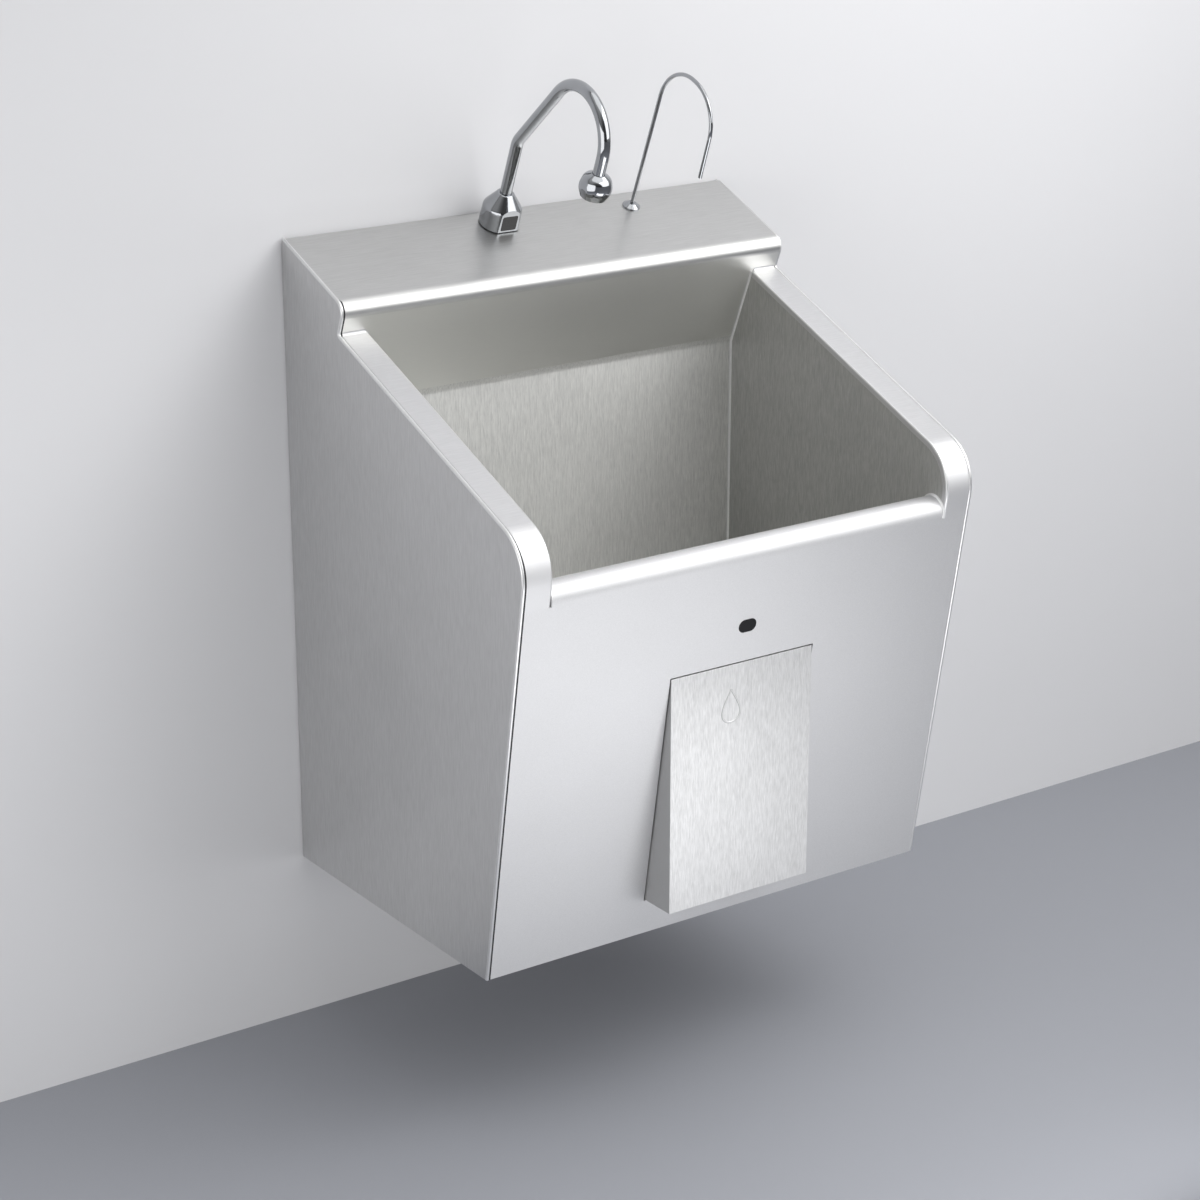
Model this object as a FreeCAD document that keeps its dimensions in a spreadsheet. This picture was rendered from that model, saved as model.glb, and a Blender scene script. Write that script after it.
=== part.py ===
import FreeCAD, Part
import math
import os
from types import SimpleNamespace

import Sketcher

# Wall-hung surgical scrub sink in stainless sheet, in millimetres.
# X runs to the right along the wall, Y points into the wall and Z is up.
# The origin is the centre of the four wall bolts, on the wall plane.
# Heights named "..._height" are measured up from the foot of the cabinet.

SIZES = {
    # sheet metal
    "sheet": 2.0,
    "seam": 0.6,
    "fold_radius": 4.0,
    "lip": 10.0,
    # cabinet outline
    "cabinet_width": 815.0,
    "cabinet_height": 1010.0,
    "base_depth": 541.0,
    "apron_lean": 9.5,
    "foot_flange": 22.0,
    # sloping deck
    "deck_slope": 22.5,
    "deck_reach": 180.0,
    "bullnose_radius": 21.0,
    "deck_back_radius": 7.0,
    "deck_flange": 38.0,
    # side rims
    "rim_drop": 48.8,
    "rim_width": 50.0,
    "rim_corner_radius": 76.0,
    "rim_foot_radius": 4.5,
    # basin
    "basin_back_gap": 109.0,
    "front_rim_drop": 59.6,
    "front_rim_radius": 24.0,
    "front_rim_land": 2.0,
    "front_wall_depth": 49.0,
    "floor_height": 296.0,
    "floor_fall": 16.0,
    "floor_flat": 140.0,
    # wall bars and bottom panel
    "bar_thickness": 6.0,
    "bar_width": 44.0,
    "bolt_span": 406.4,
    "bar_inset": 65.0,
    "bolt_hole_radius": 5.5,
    "tray_sheet": 1.5,
    "tray_wall": 14.0,
    "tray_margin": 12.0,
    # drain and trap
    "drain_setback": 300.0,
    "drain_flange_radius": 42.0,
    "drain_tube_radius": 23.0,
    "drain_length": 62.0,
    "strainer_radius": 36.0,
    "strainer_thickness": 1.5,
    "strainer_hole_radius": 2.4,
    "strainer_pitch": 8.0,
    "gasket_thickness": 3.0,
    "drain_nut_thickness": 10.0,
    "pipe_radius": 19.05,
    "pipe_wall": 1.5,
    "pipe_clearance": 0.35,
    "hub_wall": 2.0,
    "tail_length": 105.0,
    "pipe_overlap": 20.0,
    "trap_leg": 98.0,
    "trap_width": 100.0,
    "trap_rise": 82.0,
    "trap_bend_radius": 49.0,
    "arm_height": 200.0,
    "arm_bend_radius": 45.0,
    "slip_nut_height": 16.0,
    "slip_nut_wall": 7.0,
    "arm_wall_gap": 3.0,
    # faucet, in the frame of the deck
    "faucet_offset": -47.0,
    "faucet_setback": 43.3,
    "faucet_radius": 32.0,
    "faucet_skirt": 33.0,
    "faucet_round": 12.0,
    "faucet_height": 57.0,
    "faucet_neck_radius": 13.0,
    "faucet_facet": 26.5,
    "faucet_gasket": 1.5,
    "eye_width": 28.0,
    "eye_height": 25.0,
    "eye_rise": 2.5,
    "eye_depth": 2.5,
    "eye_corner": 3.0,
    "shank_radius": 13.0,
    "shank_length": 32.0,
    "water_bore": 6.0,
    "nut_thickness": 8.0,
    "fit_clearance": 0.15,
    "turn_clearance": 0.05,
    "spout_radius": 9.5,
    "spout_wall": 1.5,
    "spout_socket": 24.0,
    "spout_rise": 148.0,
    "spout_kink": 29.0,
    "spout_kink_radius": 30.0,
    "spout_reach": 205.0,
    "spout_arch_radius": 72.5,
    "spout_end": 206.0,
    "head_radius": 26.5,
    "head_neck_radius": 10.8,
    "head_height": 38.0,
    "head_socket": 8.5,
    "head_mouth_radius": 20.5,
    "head_waist": 14.0,
    "head_shoulder_radius": 21.5,
    "head_shoulder": 32.0,
    "head_round": 13.0,
    "head_waist_round": 24.0,
    "rose_radius": 18.0,
    "rose_thickness": 3.0,
    "rose_hole_radius": 0.9,
    "rose_pitch": 5.0,
    # soap spout, in the frame of the deck
    "soap_offset": 204.0,
    "soap_setback": 46.0,
    "soap_flange_radius": 14.5,
    "soap_flange_height": 7.0,
    "soap_shank_radius": 7.0,
    "soap_shank_length": 28.0,
    "soap_nut_thickness": 6.0,
    "soap_tube_radius": 3.2,
    "soap_tube_wall": 0.8,
    "soap_top": 267.0,
    "soap_reach": 134.0,
    "soap_splay": 5.5,
    "soap_end": 138.0,
    "soap_bend_radius": 66.0,
    # knee panel and its hinge
    "knee_width": 260.0,
    "knee_length": 372.0,
    "knee_height": 432.0,
    "knee_gap": 2.0,
    "knee_inset_top": 22.0,
    "knee_inset_foot": 14.0,
    "stop_bar_height": 26.0,
    "stop_bar_overhang": 8.0,
    "stop_bar_lift": 16.0,
    "run_gap": 0.4,
    "knuckle_radius": 3.5,
    "hinge_pin_radius": 1.5,
    "hinge_length": 240.0,
    "hinge_leaf": 22.0,
    "leaf_thickness": 1.5,
    "knuckle_gap": 0.4,
    "striker_radius": 16.0,
    "striker_length": 30.0,
    # soap pump, square to the apron
    "pump_height": 190.0,
    "pump_radius": 16.0,
    "pump_nose_radius": 10.0,
    "pump_start": 30.0,
    "pump_length": 85.0,
    "pump_nose": 22.0,
    "pump_port_radius": 5.0,
    "pump_port_reach": 30.0,
    "pump_port_inset": 15.0,
    "plunger_radius": 6.0,
    "plunger_head_radius": 11.0,
    "plunger_head_height": 7.0,
    "plunger_dome_radius": 18.0,
    "plunger_edge_radius": 3.0,
    "strike_gap": 0.8,
    "plunger_length": 68.0,
    "plunger_bore": 62.0,
    "bracket_half_span": 152.0,
    "bracket_foot": 24.0,
    "bracket_depth": 52.0,
    "bracket_height": 60.0,
    # apron sensor
    "sensor_drop": 105.7,
    "sensor_length": 32.0,
    "sensor_radius": 10.5,
    "sensor_proud": 0.5,
    "sensor_box_length": 52.0,
    "sensor_box_height": 34.0,
    "sensor_box_depth": 20.0,
    "sensor_box_corner": 4.0,
    # soap reservoir
    "shelf_height": 24.0,
    "shelf_reach": 176.0,
    "shelf_upstand": 90.0,
    "shelf_front": 440.0,
    "tank_width": 160.0,
    "tank_height": 176.0,
    "tank_corner": 26.0,
    "tank_shoulder": 14.0,
    "tank_neck_radius": 24.0,
    "tank_neck_height": 20.0,
    "cap_radius": 29.0,
    "cap_height": 18.0,
    "soap_line_radius": 4.0,
    "soap_line_wall": 1.0,
    "soap_line_bend": 12.0,
    # water supply behind the basin
    "supply_setback": 45.0,
    "stop_height": 140.0,
    "stop_spread": 103.0,
    "stop_radius": 13.0,
    "stop_bore": 8.0,
    "stop_bore_depth": 22.0,
    "stop_length": 52.0,
    "stop_wall_gap": 10.0,
    "stop_outlet_radius": 9.0,
    "stop_outlet_rise": 30.0,
    "stem_radius": 3.5,
    "stem_length": 14.0,
    "handle_length": 46.0,
    "handle_width": 20.0,
    "handle_thickness": 11.0,
    "valve_height": 270.0,
    "valve_radius": 20.0,
    "valve_length": 110.0,
    "valve_end_radius": 13.0,
    "valve_end_length": 24.0,
    "valve_outlet_rise": 38.0,
    "valve_bonnet_reach": 32.0,
    "valve_bonnet_radius": 12.0,
    "knob_radius": 17.0,
    "knob_length": 22.0,
    "knob_notch_radius": 4.0,
    "solenoid_width": 44.0,
    "solenoid_depth": 36.0,
    "solenoid_height": 40.0,
    "coil_radius": 14.0,
    "coil_length": 30.0,
    "outlet_boss_radius": 10.0,
    "outlet_boss_height": 12.0,
    "copper_radius": 6.35,
    "copper_wall": 0.9,
    "copper_bend": 26.0,
    "riser_bend_drop": 160.0,
    "riser_lead": 25.0,
    "box_side_gap": 37.5,
    "box_height": 520.0,
    "box_width": 140.0,
    "box_rise": 110.0,
    "box_depth": 46.0,
    "box_corner": 6.0,
    "gland_radius": 7.0,
    "gland_length": 12.0,
    "gland_pitch": 36.0,
}

X_AXIS = FreeCAD.Vector(1, 0, 0)
Y_AXIS = FreeCAD.Vector(0, 1, 0)

doc = FreeCAD.newDocument("scrub_sink")
sheet = doc.addObject("Spreadsheet::Sheet", "Sheet")
for row, (name, number) in enumerate(SIZES.items(), start=1):
    sheet.set(f"A{row}", str(number))
    sheet.setAlias(f"A{row}", name)
doc.recompute()

nodes = []


class Size:
    """A number together with the spreadsheet formula that gives it."""

    def __init__(self, value, formula):
        self.value = value
        self.formula = formula

    def __add__(self, other):
        other = size(other)
        return Size(self.value + other.value, f"({self.formula} + {other.formula})")

    def __sub__(self, other):
        other = size(other)
        return Size(self.value - other.value, f"({self.formula} - {other.formula})")

    def __mul__(self, other):
        other = size(other)
        return Size(self.value * other.value, f"{self.formula} * {other.formula}")

    def __truediv__(self, other):
        other = size(other)
        return Size(self.value / other.value, f"({self.formula}) / ({other.formula})")

    def __neg__(self):
        return Size(-self.value, f"(0 - {self.formula})")

    def __radd__(self, other):
        return size(other) + self

    def __rsub__(self, other):
        return size(other) - self

    def __rmul__(self, other):
        return size(other) * self

    def __rtruediv__(self, other):
        return size(other) / self


def size(number):
    return number if isinstance(number, Size) else Size(float(number), repr(float(number)))


def sine(angle):
    return Size(math.sin(math.radians(angle.value)), f"sin({angle.formula})")


def cosine(angle):
    return Size(math.cos(math.radians(angle.value)), f"cos({angle.formula})")


def tangent(angle):
    return Size(math.tan(math.radians(angle.value)), f"tan({angle.formula})")


s = SimpleNamespace(**{name: Size(float(sheet.get(name)), f"Sheet.{name}") for name in SIZES})


# Document helpers

def bind(obj, prop, amount):
    obj.setExpression(prop, size(amount).formula)


def place(obj, base, turn=0, axis=X_AXIS):
    """Put an object at base, turned about an axis through that point."""
    turn = size(turn)
    if turn.value < 0:
        turn, axis = -turn, -axis
    spot = FreeCAD.Vector(*[size(c).value for c in base])
    obj.Placement = FreeCAD.Placement(spot, FreeCAD.Rotation(axis, turn.value))
    for letter, coordinate in zip("xyz", base):
        bind(obj, f".Placement.Base.{letter}", coordinate)
    if turn.value:
        bind(obj, ".Placement.Rotation.Angle", turn)


def new_body(label, base=(0, 0, 0), turn=0, axis=X_AXIS):
    body = doc.addObject("PartDesign::Body", label)
    body.Label = label
    place(body, base, turn, axis)
    nodes.append(body)
    return body


def sketch_on(body, plane, offset=0):
    """Start a sketch on one of the body's origin planes, moved along its normal."""
    sketch = body.newObject("Sketcher::SketchObject", f"{body.Label}_sketch")
    support = [f for f in body.Origin.OriginFeatures if f.Role == plane]
    sketch.AttachmentSupport = [(support[0], "")]
    sketch.MapMode = "FlatFace"
    bind(sketch, ".AttachmentOffset.Base.z", offset)
    return sketch


def pin(sketch, geometry, end, x, y):
    """Tie one point of a sketch to its distances from the sketch origin."""
    for kind, amount in (("DistanceX", size(x)), ("DistanceY", size(y))):
        index = sketch.addConstraint(Sketcher.Constraint(kind, -1, 1, geometry, end, amount.value))
        bind(sketch, f"Constraints[{index}]", amount)


def set_radius(sketch, geometry, radius):
    radius = size(radius)
    index = sketch.addConstraint(Sketcher.Constraint("Radius", geometry, radius.value))
    bind(sketch, f"Constraints[{index}]", radius)


def circle(sketch, x, y, radius):
    centre = FreeCAD.Vector(size(x).value, size(y).value, 0)
    ring = sketch.addGeometry(Part.Circle(centre, FreeCAD.Vector(0, 0, 1), size(radius).value))
    pin(sketch, ring, 3, x, y)
    set_radius(sketch, ring, radius)


def outline(sketch, corners, closed=True):
    """Draw straight runs through corners (x, y), rounding each (x, y, radius) with a tangent arc."""
    count = len(corners)
    spots = [FreeCAD.Vector(size(c[0]).value, size(c[1]).value, 0) for c in corners]
    arrive, bend, leave = [], [], []
    for i, corner in enumerate(corners):
        if len(corner) == 2:
            arrive.append(spots[i])
            bend.append(None)
            leave.append(spots[i])
            continue
        radius = size(corner[2]).value
        back = (spots[i - 1] - spots[i]).normalize()
        onward = (spots[(i + 1) % count] - spots[i]).normalize()
        half = back.getAngle(onward) / 2
        inward = (back + onward).normalize()
        arrive.append(spots[i] + back * (radius / math.tan(half)))
        bend.append(spots[i] + inward * (radius / math.sin(half) - radius))
        leave.append(spots[i] + onward * (radius / math.tan(half)))
    runs = [
        sketch.addGeometry(Part.LineSegment(leave[i], arrive[(i + 1) % count]))
        for i in range(count if closed else count - 1)
    ]
    for i, corner in enumerate(corners):
        before = runs[i - 1] if closed or i else None
        after = runs[i] if i < len(runs) else None
        if bend[i] is None:
            if before is not None and after is not None:
                sketch.addConstraint(Sketcher.Constraint("Coincident", before, 2, after, 1))
            if after is None:
                pin(sketch, before, 2, *corner)
            else:
                pin(sketch, after, 1, *corner)
            continue
        arc = sketch.addGeometry(Part.Arc(arrive[i], bend[i], leave[i]))
        forward = sketch.getPoint(arc, 1).distanceToPoint(arrive[i]) < 1e-6
        first, last = (1, 2) if forward else (2, 1)
        virtual = sketch.addGeometry(Part.Point(spots[i]), True)
        sketch.addConstraint([
            Sketcher.Constraint("Tangent", before, 2, arc, first),
            Sketcher.Constraint("Tangent", arc, last, after, 1),
            Sketcher.Constraint("PointOnObject", virtual, 1, before),
            Sketcher.Constraint("PointOnObject", virtual, 1, after),
        ])
        set_radius(sketch, arc, corner[2])
        pin(sketch, virtual, 1, corner[0], corner[1])


def rectangle(sketch, left, low, right, high, corner=None):
    tail = () if corner is None else (corner,)
    outline(sketch, [
        (left, low) + tail, (right, low) + tail, (right, high) + tail, (left, high) + tail,
    ])


def cove(sketch, x, y, radius):
    """A corner filler at (x, y), hollow towards -x and +y."""
    x, y, radius = size(x), size(y), size(radius)
    corner = FreeCAD.Vector(x.value, y.value, 0)
    foot = corner + FreeCAD.Vector(-radius.value, 0, 0)
    head = corner + FreeCAD.Vector(0, radius.value, 0)
    centre = corner + FreeCAD.Vector(-radius.value, radius.value, 0)
    middle = centre + FreeCAD.Vector(1, -1, 0).normalize() * radius.value
    base = sketch.addGeometry(Part.LineSegment(corner, foot))
    hollow = sketch.addGeometry(Part.Arc(foot, middle, head))
    rise = sketch.addGeometry(Part.LineSegment(head, corner))
    sketch.addConstraint([
        Sketcher.Constraint("Coincident", base, 2, hollow, 1),
        Sketcher.Constraint("Coincident", hollow, 2, rise, 1),
        Sketcher.Constraint("Coincident", rise, 2, base, 1),
    ])
    pin(sketch, base, 1, x, y)
    pin(sketch, base, 2, x - radius, y)
    pin(sketch, rise, 1, x, y + radius)
    set_radius(sketch, hollow, radius)


def pad(body, sketch, length, symmetric=False, backwards=False):
    feature = body.newObject("PartDesign::Pad", f"{body.Label}_pad")
    feature.Profile = sketch
    bind(feature, "Length", length)
    feature.SideType = "Symmetric" if symmetric else "One side"
    feature.Reversed = backwards
    return feature


def pocket_through(body, sketch):
    feature = body.newObject("PartDesign::Pocket", f"{body.Label}_cut")
    feature.Profile = sketch
    feature.Type = "ThroughAll"
    feature.SideType = "Symmetric"
    return feature


def pocket(body, sketch, depth, backwards=False):
    feature = body.newObject("PartDesign::Pocket", f"{body.Label}_pocket")
    feature.Profile = sketch
    bind(feature, "Length", depth)
    feature.Reversed = backwards
    return feature


def turned(label, profile, base=(0, 0, 0), turn=0, axis=X_AXIS):
    """A piece of revolution: profile corners are (radius, height) about the local Z axis."""
    body = new_body(label, base, turn, axis)
    sketch = sketch_on(body, "XZ_Plane")
    outline(sketch, profile)
    feature = body.newObject("PartDesign::Revolution", f"{label}_turn")
    feature.Profile = sketch
    feature.ReferenceAxis = (sketch, ["V_Axis"])
    feature.Angle = 360
    return body


def swept(body, route, section):
    feature = body.newObject("PartDesign::AdditivePipe", f"{body.Label}_sweep")
    feature.Profile = section
    feature.Spine = route
    return feature


def bent_tube(label, route, first, radius, wall, base=(0, 0, 0), turn=0):
    """A tube bent in the local YZ plane; first is the height of its level starting face."""
    body = new_body(label, base, turn)
    path = sketch_on(body, "YZ_Plane")
    outline(path, route, closed=False)
    section = sketch_on(body, "XY_Plane", first)
    circle(section, 0, route[0][0], radius)
    circle(section, 0, route[0][0], radius - wall)
    swept(body, path, section)
    return body


def hex_nut(label, across_corners, bore, thickness, base, turn=0, sides=6):
    body = new_body(label, base, turn)
    sketch = sketch_on(body, "XY_Plane")
    corners = []
    for k in range(sides):
        angle = size(360 * k / sides)
        corners.append((across_corners / 2 * cosine(angle), across_corners / 2 * sine(angle)))
    outline(sketch, corners)
    circle(sketch, 0, 0, bore)
    pad(body, sketch, thickness)
    return body


def routed_tube(label, points, radius, wall, bends):
    """A tube routed through points in space, with an arc of its own radius at each inner point."""
    spots = [FreeCAD.Vector(*[size(c).value for c in p]) for p in points]
    edges = []
    start = spots[0]
    for spot, after, bend_size in zip(spots[1:-1], spots[2:], bends):
        back = (start - spot).normalize()
        onward = (after - spot).normalize()
        half = back.getAngle(onward) / 2
        reach = bend_size.value / math.tan(half)
        inward = (back + onward).normalize()
        middle = spot + inward * (bend_size.value / math.sin(half) - bend_size.value)
        edges.append(Part.LineSegment(start, spot + back * reach).toShape())
        edges.append(Part.Arc(spot + back * reach, middle, spot + onward * reach).toShape())
        start = spot + onward * reach
    edges.append(Part.LineSegment(start, spots[-1]).toShape())
    path = Part.Wire(edges)
    direction = (spots[1] - spots[0]).normalize()

    def rod(rod_radius):
        ring = Part.Wire([Part.makeCircle(rod_radius, spots[0], direction)])
        return path.makePipeShell([ring], True, False)

    feature = doc.addObject("Part::Feature", label)
    feature.Label = label
    feature.Shape = rod(radius.value).cut(rod((radius - wall).value))
    area = math.pi * (radius.value ** 2 - (radius - wall).value ** 2)
    print(f"{label}: volume {feature.Shape.Volume:.1f}, section times length {area * path.Length:.1f}")
    nodes.append(feature)
    return feature


# Reference lines

half_width = s.cabinet_width / 2
wall_x = half_width - s.sheet
fit_x = wall_x - s.seam
basin_x = half_width - s.rim_width
foot_z = -s.cabinet_height / 2
head_z = s.cabinet_height / 2
deck_length = s.deck_reach / cosine(s.deck_slope)
fascia_length = (s.deck_reach - s.basin_back_gap) / sine(s.deck_slope)
lean_gap = s.deck_slope - s.apron_lean


def level(height):
    """Z of a height above the foot of the cabinet."""
    return foot_z + height


def deck_point(forward, up):
    """(y, z) of a point given along the deck from the wall and square to the deck."""
    y = -(forward * cosine(s.deck_slope) + up * sine(s.deck_slope))
    z = head_z - forward * sine(s.deck_slope) + up * cosine(s.deck_slope)
    return y, z


def apron_point(depth, along):
    """(y, z) of a point given by its depth behind the apron face and its way up the apron."""
    y = depth * cosine(s.apron_lean) - s.base_depth - along * sine(s.apron_lean)
    z = level(depth * sine(s.apron_lean) + along * cosine(s.apron_lean))
    return y, z


def apron_along(depth, height):
    """Way up the apron at which a given depth lies at a given height."""
    return (height - depth * sine(s.apron_lean)) / cosine(s.apron_lean)


def rim_forward(drop, depth):
    """Way along the deck at which a line parallel to the rim meets one parallel to the apron."""
    foot_forward = s.base_depth * cosine(s.deck_slope) + s.cabinet_height * sine(s.deck_slope)
    foot_up = s.base_depth * sine(s.deck_slope) - s.cabinet_height * cosine(s.deck_slope)
    return foot_forward + (drop + foot_up) * tangent(lean_gap) - depth / cosine(lean_gap)


rim_corner_height = deck_point(rim_forward(s.rim_drop, 0), -s.rim_drop)[1] - foot_z
rim_crest = apron_along(s.front_wall_depth / 2, rim_corner_height - s.front_rim_drop)
apron_top = rim_crest - s.front_rim_radius - s.front_rim_land
deck_base = (0, 0, head_z)
apron_base = (0, -s.base_depth, foot_z)


# Cabinet

def side_panel(label, hand):
    """Outer side sheet, cut to the cabinet's outline, with a flange folded in at its foot."""
    body = new_body(label, (hand * half_width, 0, 0))
    sheet_outline = sketch_on(body, "YZ_Plane")
    outline(sheet_outline, [
        (0, foot_z),
        (0, head_z, s.deck_back_radius),
        deck_point(deck_length, 0) + (s.bullnose_radius,),
        deck_point(deck_length, -s.rim_drop) + (s.rim_foot_radius,),
        deck_point(rim_forward(s.rim_drop, 0), -s.rim_drop) + (s.rim_corner_radius,),
        (-s.base_depth, foot_z),
    ])
    pad(body, sheet_outline, s.sheet, backwards=hand > 0)
    flange = sketch_on(body, "YZ_Plane")
    rectangle(flange, -(s.base_depth - s.foot_flange - s.tray_margin), foot_z,
              -s.bar_thickness - s.seam, foot_z + s.sheet)
    pad(body, flange, s.foot_flange, backwards=hand > 0)


def deck():
    """Sloping deck: wall flange, flat, bullnose and fascia folded from one sheet."""
    body = new_body("deck", deck_base, s.deck_slope)
    slope = s.deck_slope
    inner_back = s.sheet * cosine(slope) + s.sheet * (1 + sine(slope)) * tangent(slope)
    section = sketch_on(body, "YZ_Plane")
    outline(section, [
        (-s.deck_flange * sine(slope), -s.deck_flange * cosine(slope)),
        (0, 0, s.deck_back_radius),
        (-deck_length, 0, s.bullnose_radius),
        (-deck_length, -fascia_length),
        (s.sheet - deck_length, -fascia_length),
        (s.sheet - deck_length, -s.sheet, s.bullnose_radius - s.sheet),
        (-inner_back, -s.sheet, s.deck_back_radius - s.sheet),
        (-s.sheet * cosine(slope) - s.deck_flange * sine(slope),
         s.sheet * sine(slope) - s.deck_flange * cosine(slope)),
    ])
    pad(body, section, 2 * fit_x, symmetric=True)
    notches = sketch_on(body, "XZ_Plane")
    for hand in (-1, 1):
        near, far = hand * basin_x, hand * half_width
        rectangle(notches, near, -fascia_length - s.lip, far, -s.rim_drop - s.lip)
    pocket_through(body, notches)
    holes = sketch_on(body, "XY_Plane")
    circle(holes, s.faucet_offset, -s.faucet_setback, s.shank_radius + s.fit_clearance)
    circle(holes, s.soap_offset, -s.soap_setback, s.soap_shank_radius + s.fit_clearance)
    pocket(body, holes, 2 * s.sheet)


def rim_cap(label, hand):
    """Channel-shaped cap swept down the side rim, round the front corner and onto the apron."""
    inner, outer = basin_x, fit_x
    body = new_body(label, (hand * (inner + outer) / 2, 0, head_z), s.deck_slope)
    half = (outer - inner) / 2
    corner = rim_forward(s.rim_drop, 0)
    foot_drop = apron_along(0, rim_corner_height) - apron_top
    route = sketch_on(body, "YZ_Plane")
    outline(route, [
        (-deck_length, -s.rim_drop),
        (-corner, -s.rim_drop, s.rim_corner_radius),
        (-corner - foot_drop * sine(lean_gap), -s.rim_drop - foot_drop * cosine(lean_gap)),
    ], closed=False)
    section = sketch_on(body, "XZ_Plane", deck_length)
    top, under, edge = -s.rim_drop, -s.rim_drop - s.sheet, -s.rim_drop - s.lip
    inside = s.fold_radius - s.sheet
    outline(section, [
        (-half, edge), (-half, top, s.fold_radius), (half, top, s.fold_radius), (half, edge),
        (half - s.sheet, edge), (half - s.sheet, under, inside),
        (s.sheet - half, under, inside), (s.sheet - half, edge),
    ])
    swept(body, route, section)
    bead = sketch_on(body, "YZ_Plane")
    cove(bead, -deck_length, -s.rim_drop, s.rim_foot_radius)
    pad(body, bead, 2 * (half - s.fold_radius), symmetric=True)


def front_apron():
    """Leaning front sheet with side lips, a foot flange, the knee cut-out and the sensor hole."""
    body = new_body("front_apron", apron_base, s.apron_lean)
    section = sketch_on(body, "XY_Plane")
    inside = s.fold_radius - s.sheet
    outline(section, [
        (-fit_x, s.lip), (-fit_x, 0, s.fold_radius), (fit_x, 0, s.fold_radius), (fit_x, s.lip),
        (fit_x - s.sheet, s.lip), (fit_x - s.sheet, s.sheet, inside),
        (s.sheet - fit_x, s.sheet, inside), (s.sheet - fit_x, s.lip),
    ])
    pad(body, section, apron_top)
    lean = s.apron_lean
    flange = sketch_on(body, "YZ_Plane")
    outline(flange, [
        (0, 0),
        (s.foot_flange * cosine(lean), -s.foot_flange * sine(lean)),
        (s.foot_flange * cosine(lean) + s.sheet * sine(lean),
         s.sheet * cosine(lean) - s.foot_flange * sine(lean)),
        (s.sheet * sine(lean), s.sheet * cosine(lean)),
    ])
    pad(body, flange, 2 * (fit_x - s.fold_radius), symmetric=True)
    openings = sketch_on(body, "XZ_Plane")
    half = s.knee_width / 2 + s.knee_gap
    rectangle(openings, -half, apron_along(0, s.knee_height - s.knee_length - s.knee_gap),
              half, apron_along(0, s.knee_height + s.knee_gap))
    obround(openings, apron_top - s.sensor_drop, s.sensor_length, s.sensor_radius)
    pocket_through(body, openings)


def obround(sketch, along, length, radius):
    """Slot with round ends, centred on x = 0."""
    half = length / 2
    flat = radius - s.seam / 2
    outline(sketch, [
        (-half, along - radius, flat), (half, along - radius, flat),
        (half, along + radius, flat), (-half, along + radius, flat),
    ])


def wall_bar(label, hand):
    """Flat bar welded between the side panels, with two holes for the wall bolts."""
    body = new_body(label, (0, 0, hand * (s.cabinet_height / 2 - s.bar_inset)))
    plate = sketch_on(body, "XZ_Plane")
    rectangle(plate, -wall_x, -s.bar_width / 2, wall_x, s.bar_width / 2)
    for side in (-1, 1):
        circle(plate, side * s.bolt_span / 2, 0, s.bolt_hole_radius)
    pad(body, plate, s.bar_thickness)


def bottom_panel():
    """Removable tray that closes the foot of the cabinet and rests on its flanges."""
    body = new_body("bottom_panel", (0, 0, foot_z + s.sheet))
    plan = sketch_on(body, "XY_Plane")
    rectangle(plan, -(fit_x - s.seam), -(s.base_depth - s.tray_margin),
              fit_x - s.seam, -(s.bar_thickness + s.sheet), s.fold_radius)
    block = pad(body, plan, s.tray_wall)
    hollow(body, block, FreeCAD.Vector(0, 0, 1), s.tray_sheet)


def hollow(body, block, outward, wall):
    """Shell a block, leaving open the flat face that looks outward."""
    doc.recompute()
    facing = [
        f"Face{i}" for i, face in enumerate(block.Shape.Faces, start=1)
        if face.Surface.TypeId == "Part::GeomPlane" and face.normalAt(0, 0).dot(outward) > 0.9
    ]
    shell = body.newObject("PartDesign::Thickness", f"{body.Label}_shell")
    shell.Base = (block, facing)
    bind(shell, "Value", wall)
    shell.Reversed = True
    shell.Join = "Intersection"
    return shell


# Basin

def basin_side(label, hand):
    """Inner side sheet, following the rim cap at the depth of its lip."""
    body = new_body(label, (hand * basin_x, 0, 0))
    drop = s.rim_drop + s.lip
    back_y = s.sheet - s.basin_back_gap
    under_floor = s.floor_height - s.sheet
    kink_up = -(s.basin_back_gap - s.sheet - (deck_length - s.sheet) * cosine(s.deck_slope))
    sketch = sketch_on(body, "YZ_Plane")
    outline(sketch, [
        deck_point(deck_length - s.sheet, -drop),
        deck_point(deck_length - s.sheet, -kink_up / sine(s.deck_slope)),
        (back_y, level(under_floor)),
        apron_point(s.lip, apron_along(s.lip, under_floor)),
        deck_point(rim_forward(drop, s.lip), -drop) + (s.rim_corner_radius - s.lip,),
    ])
    pad(body, sketch, s.sheet, backwards=hand < 0)


def basin_back():
    body = new_body("basin_back_wall", (0, 0, level(s.floor_height - s.sheet)))
    plan = sketch_on(body, "XY_Plane")
    rectangle(plan, -basin_x, -s.basin_back_gap, basin_x, s.sheet - s.basin_back_gap)
    kink = deck_point(deck_length, -fascia_length)[1] - foot_z
    pad(body, plan, kink - (s.floor_height - s.sheet))


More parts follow.
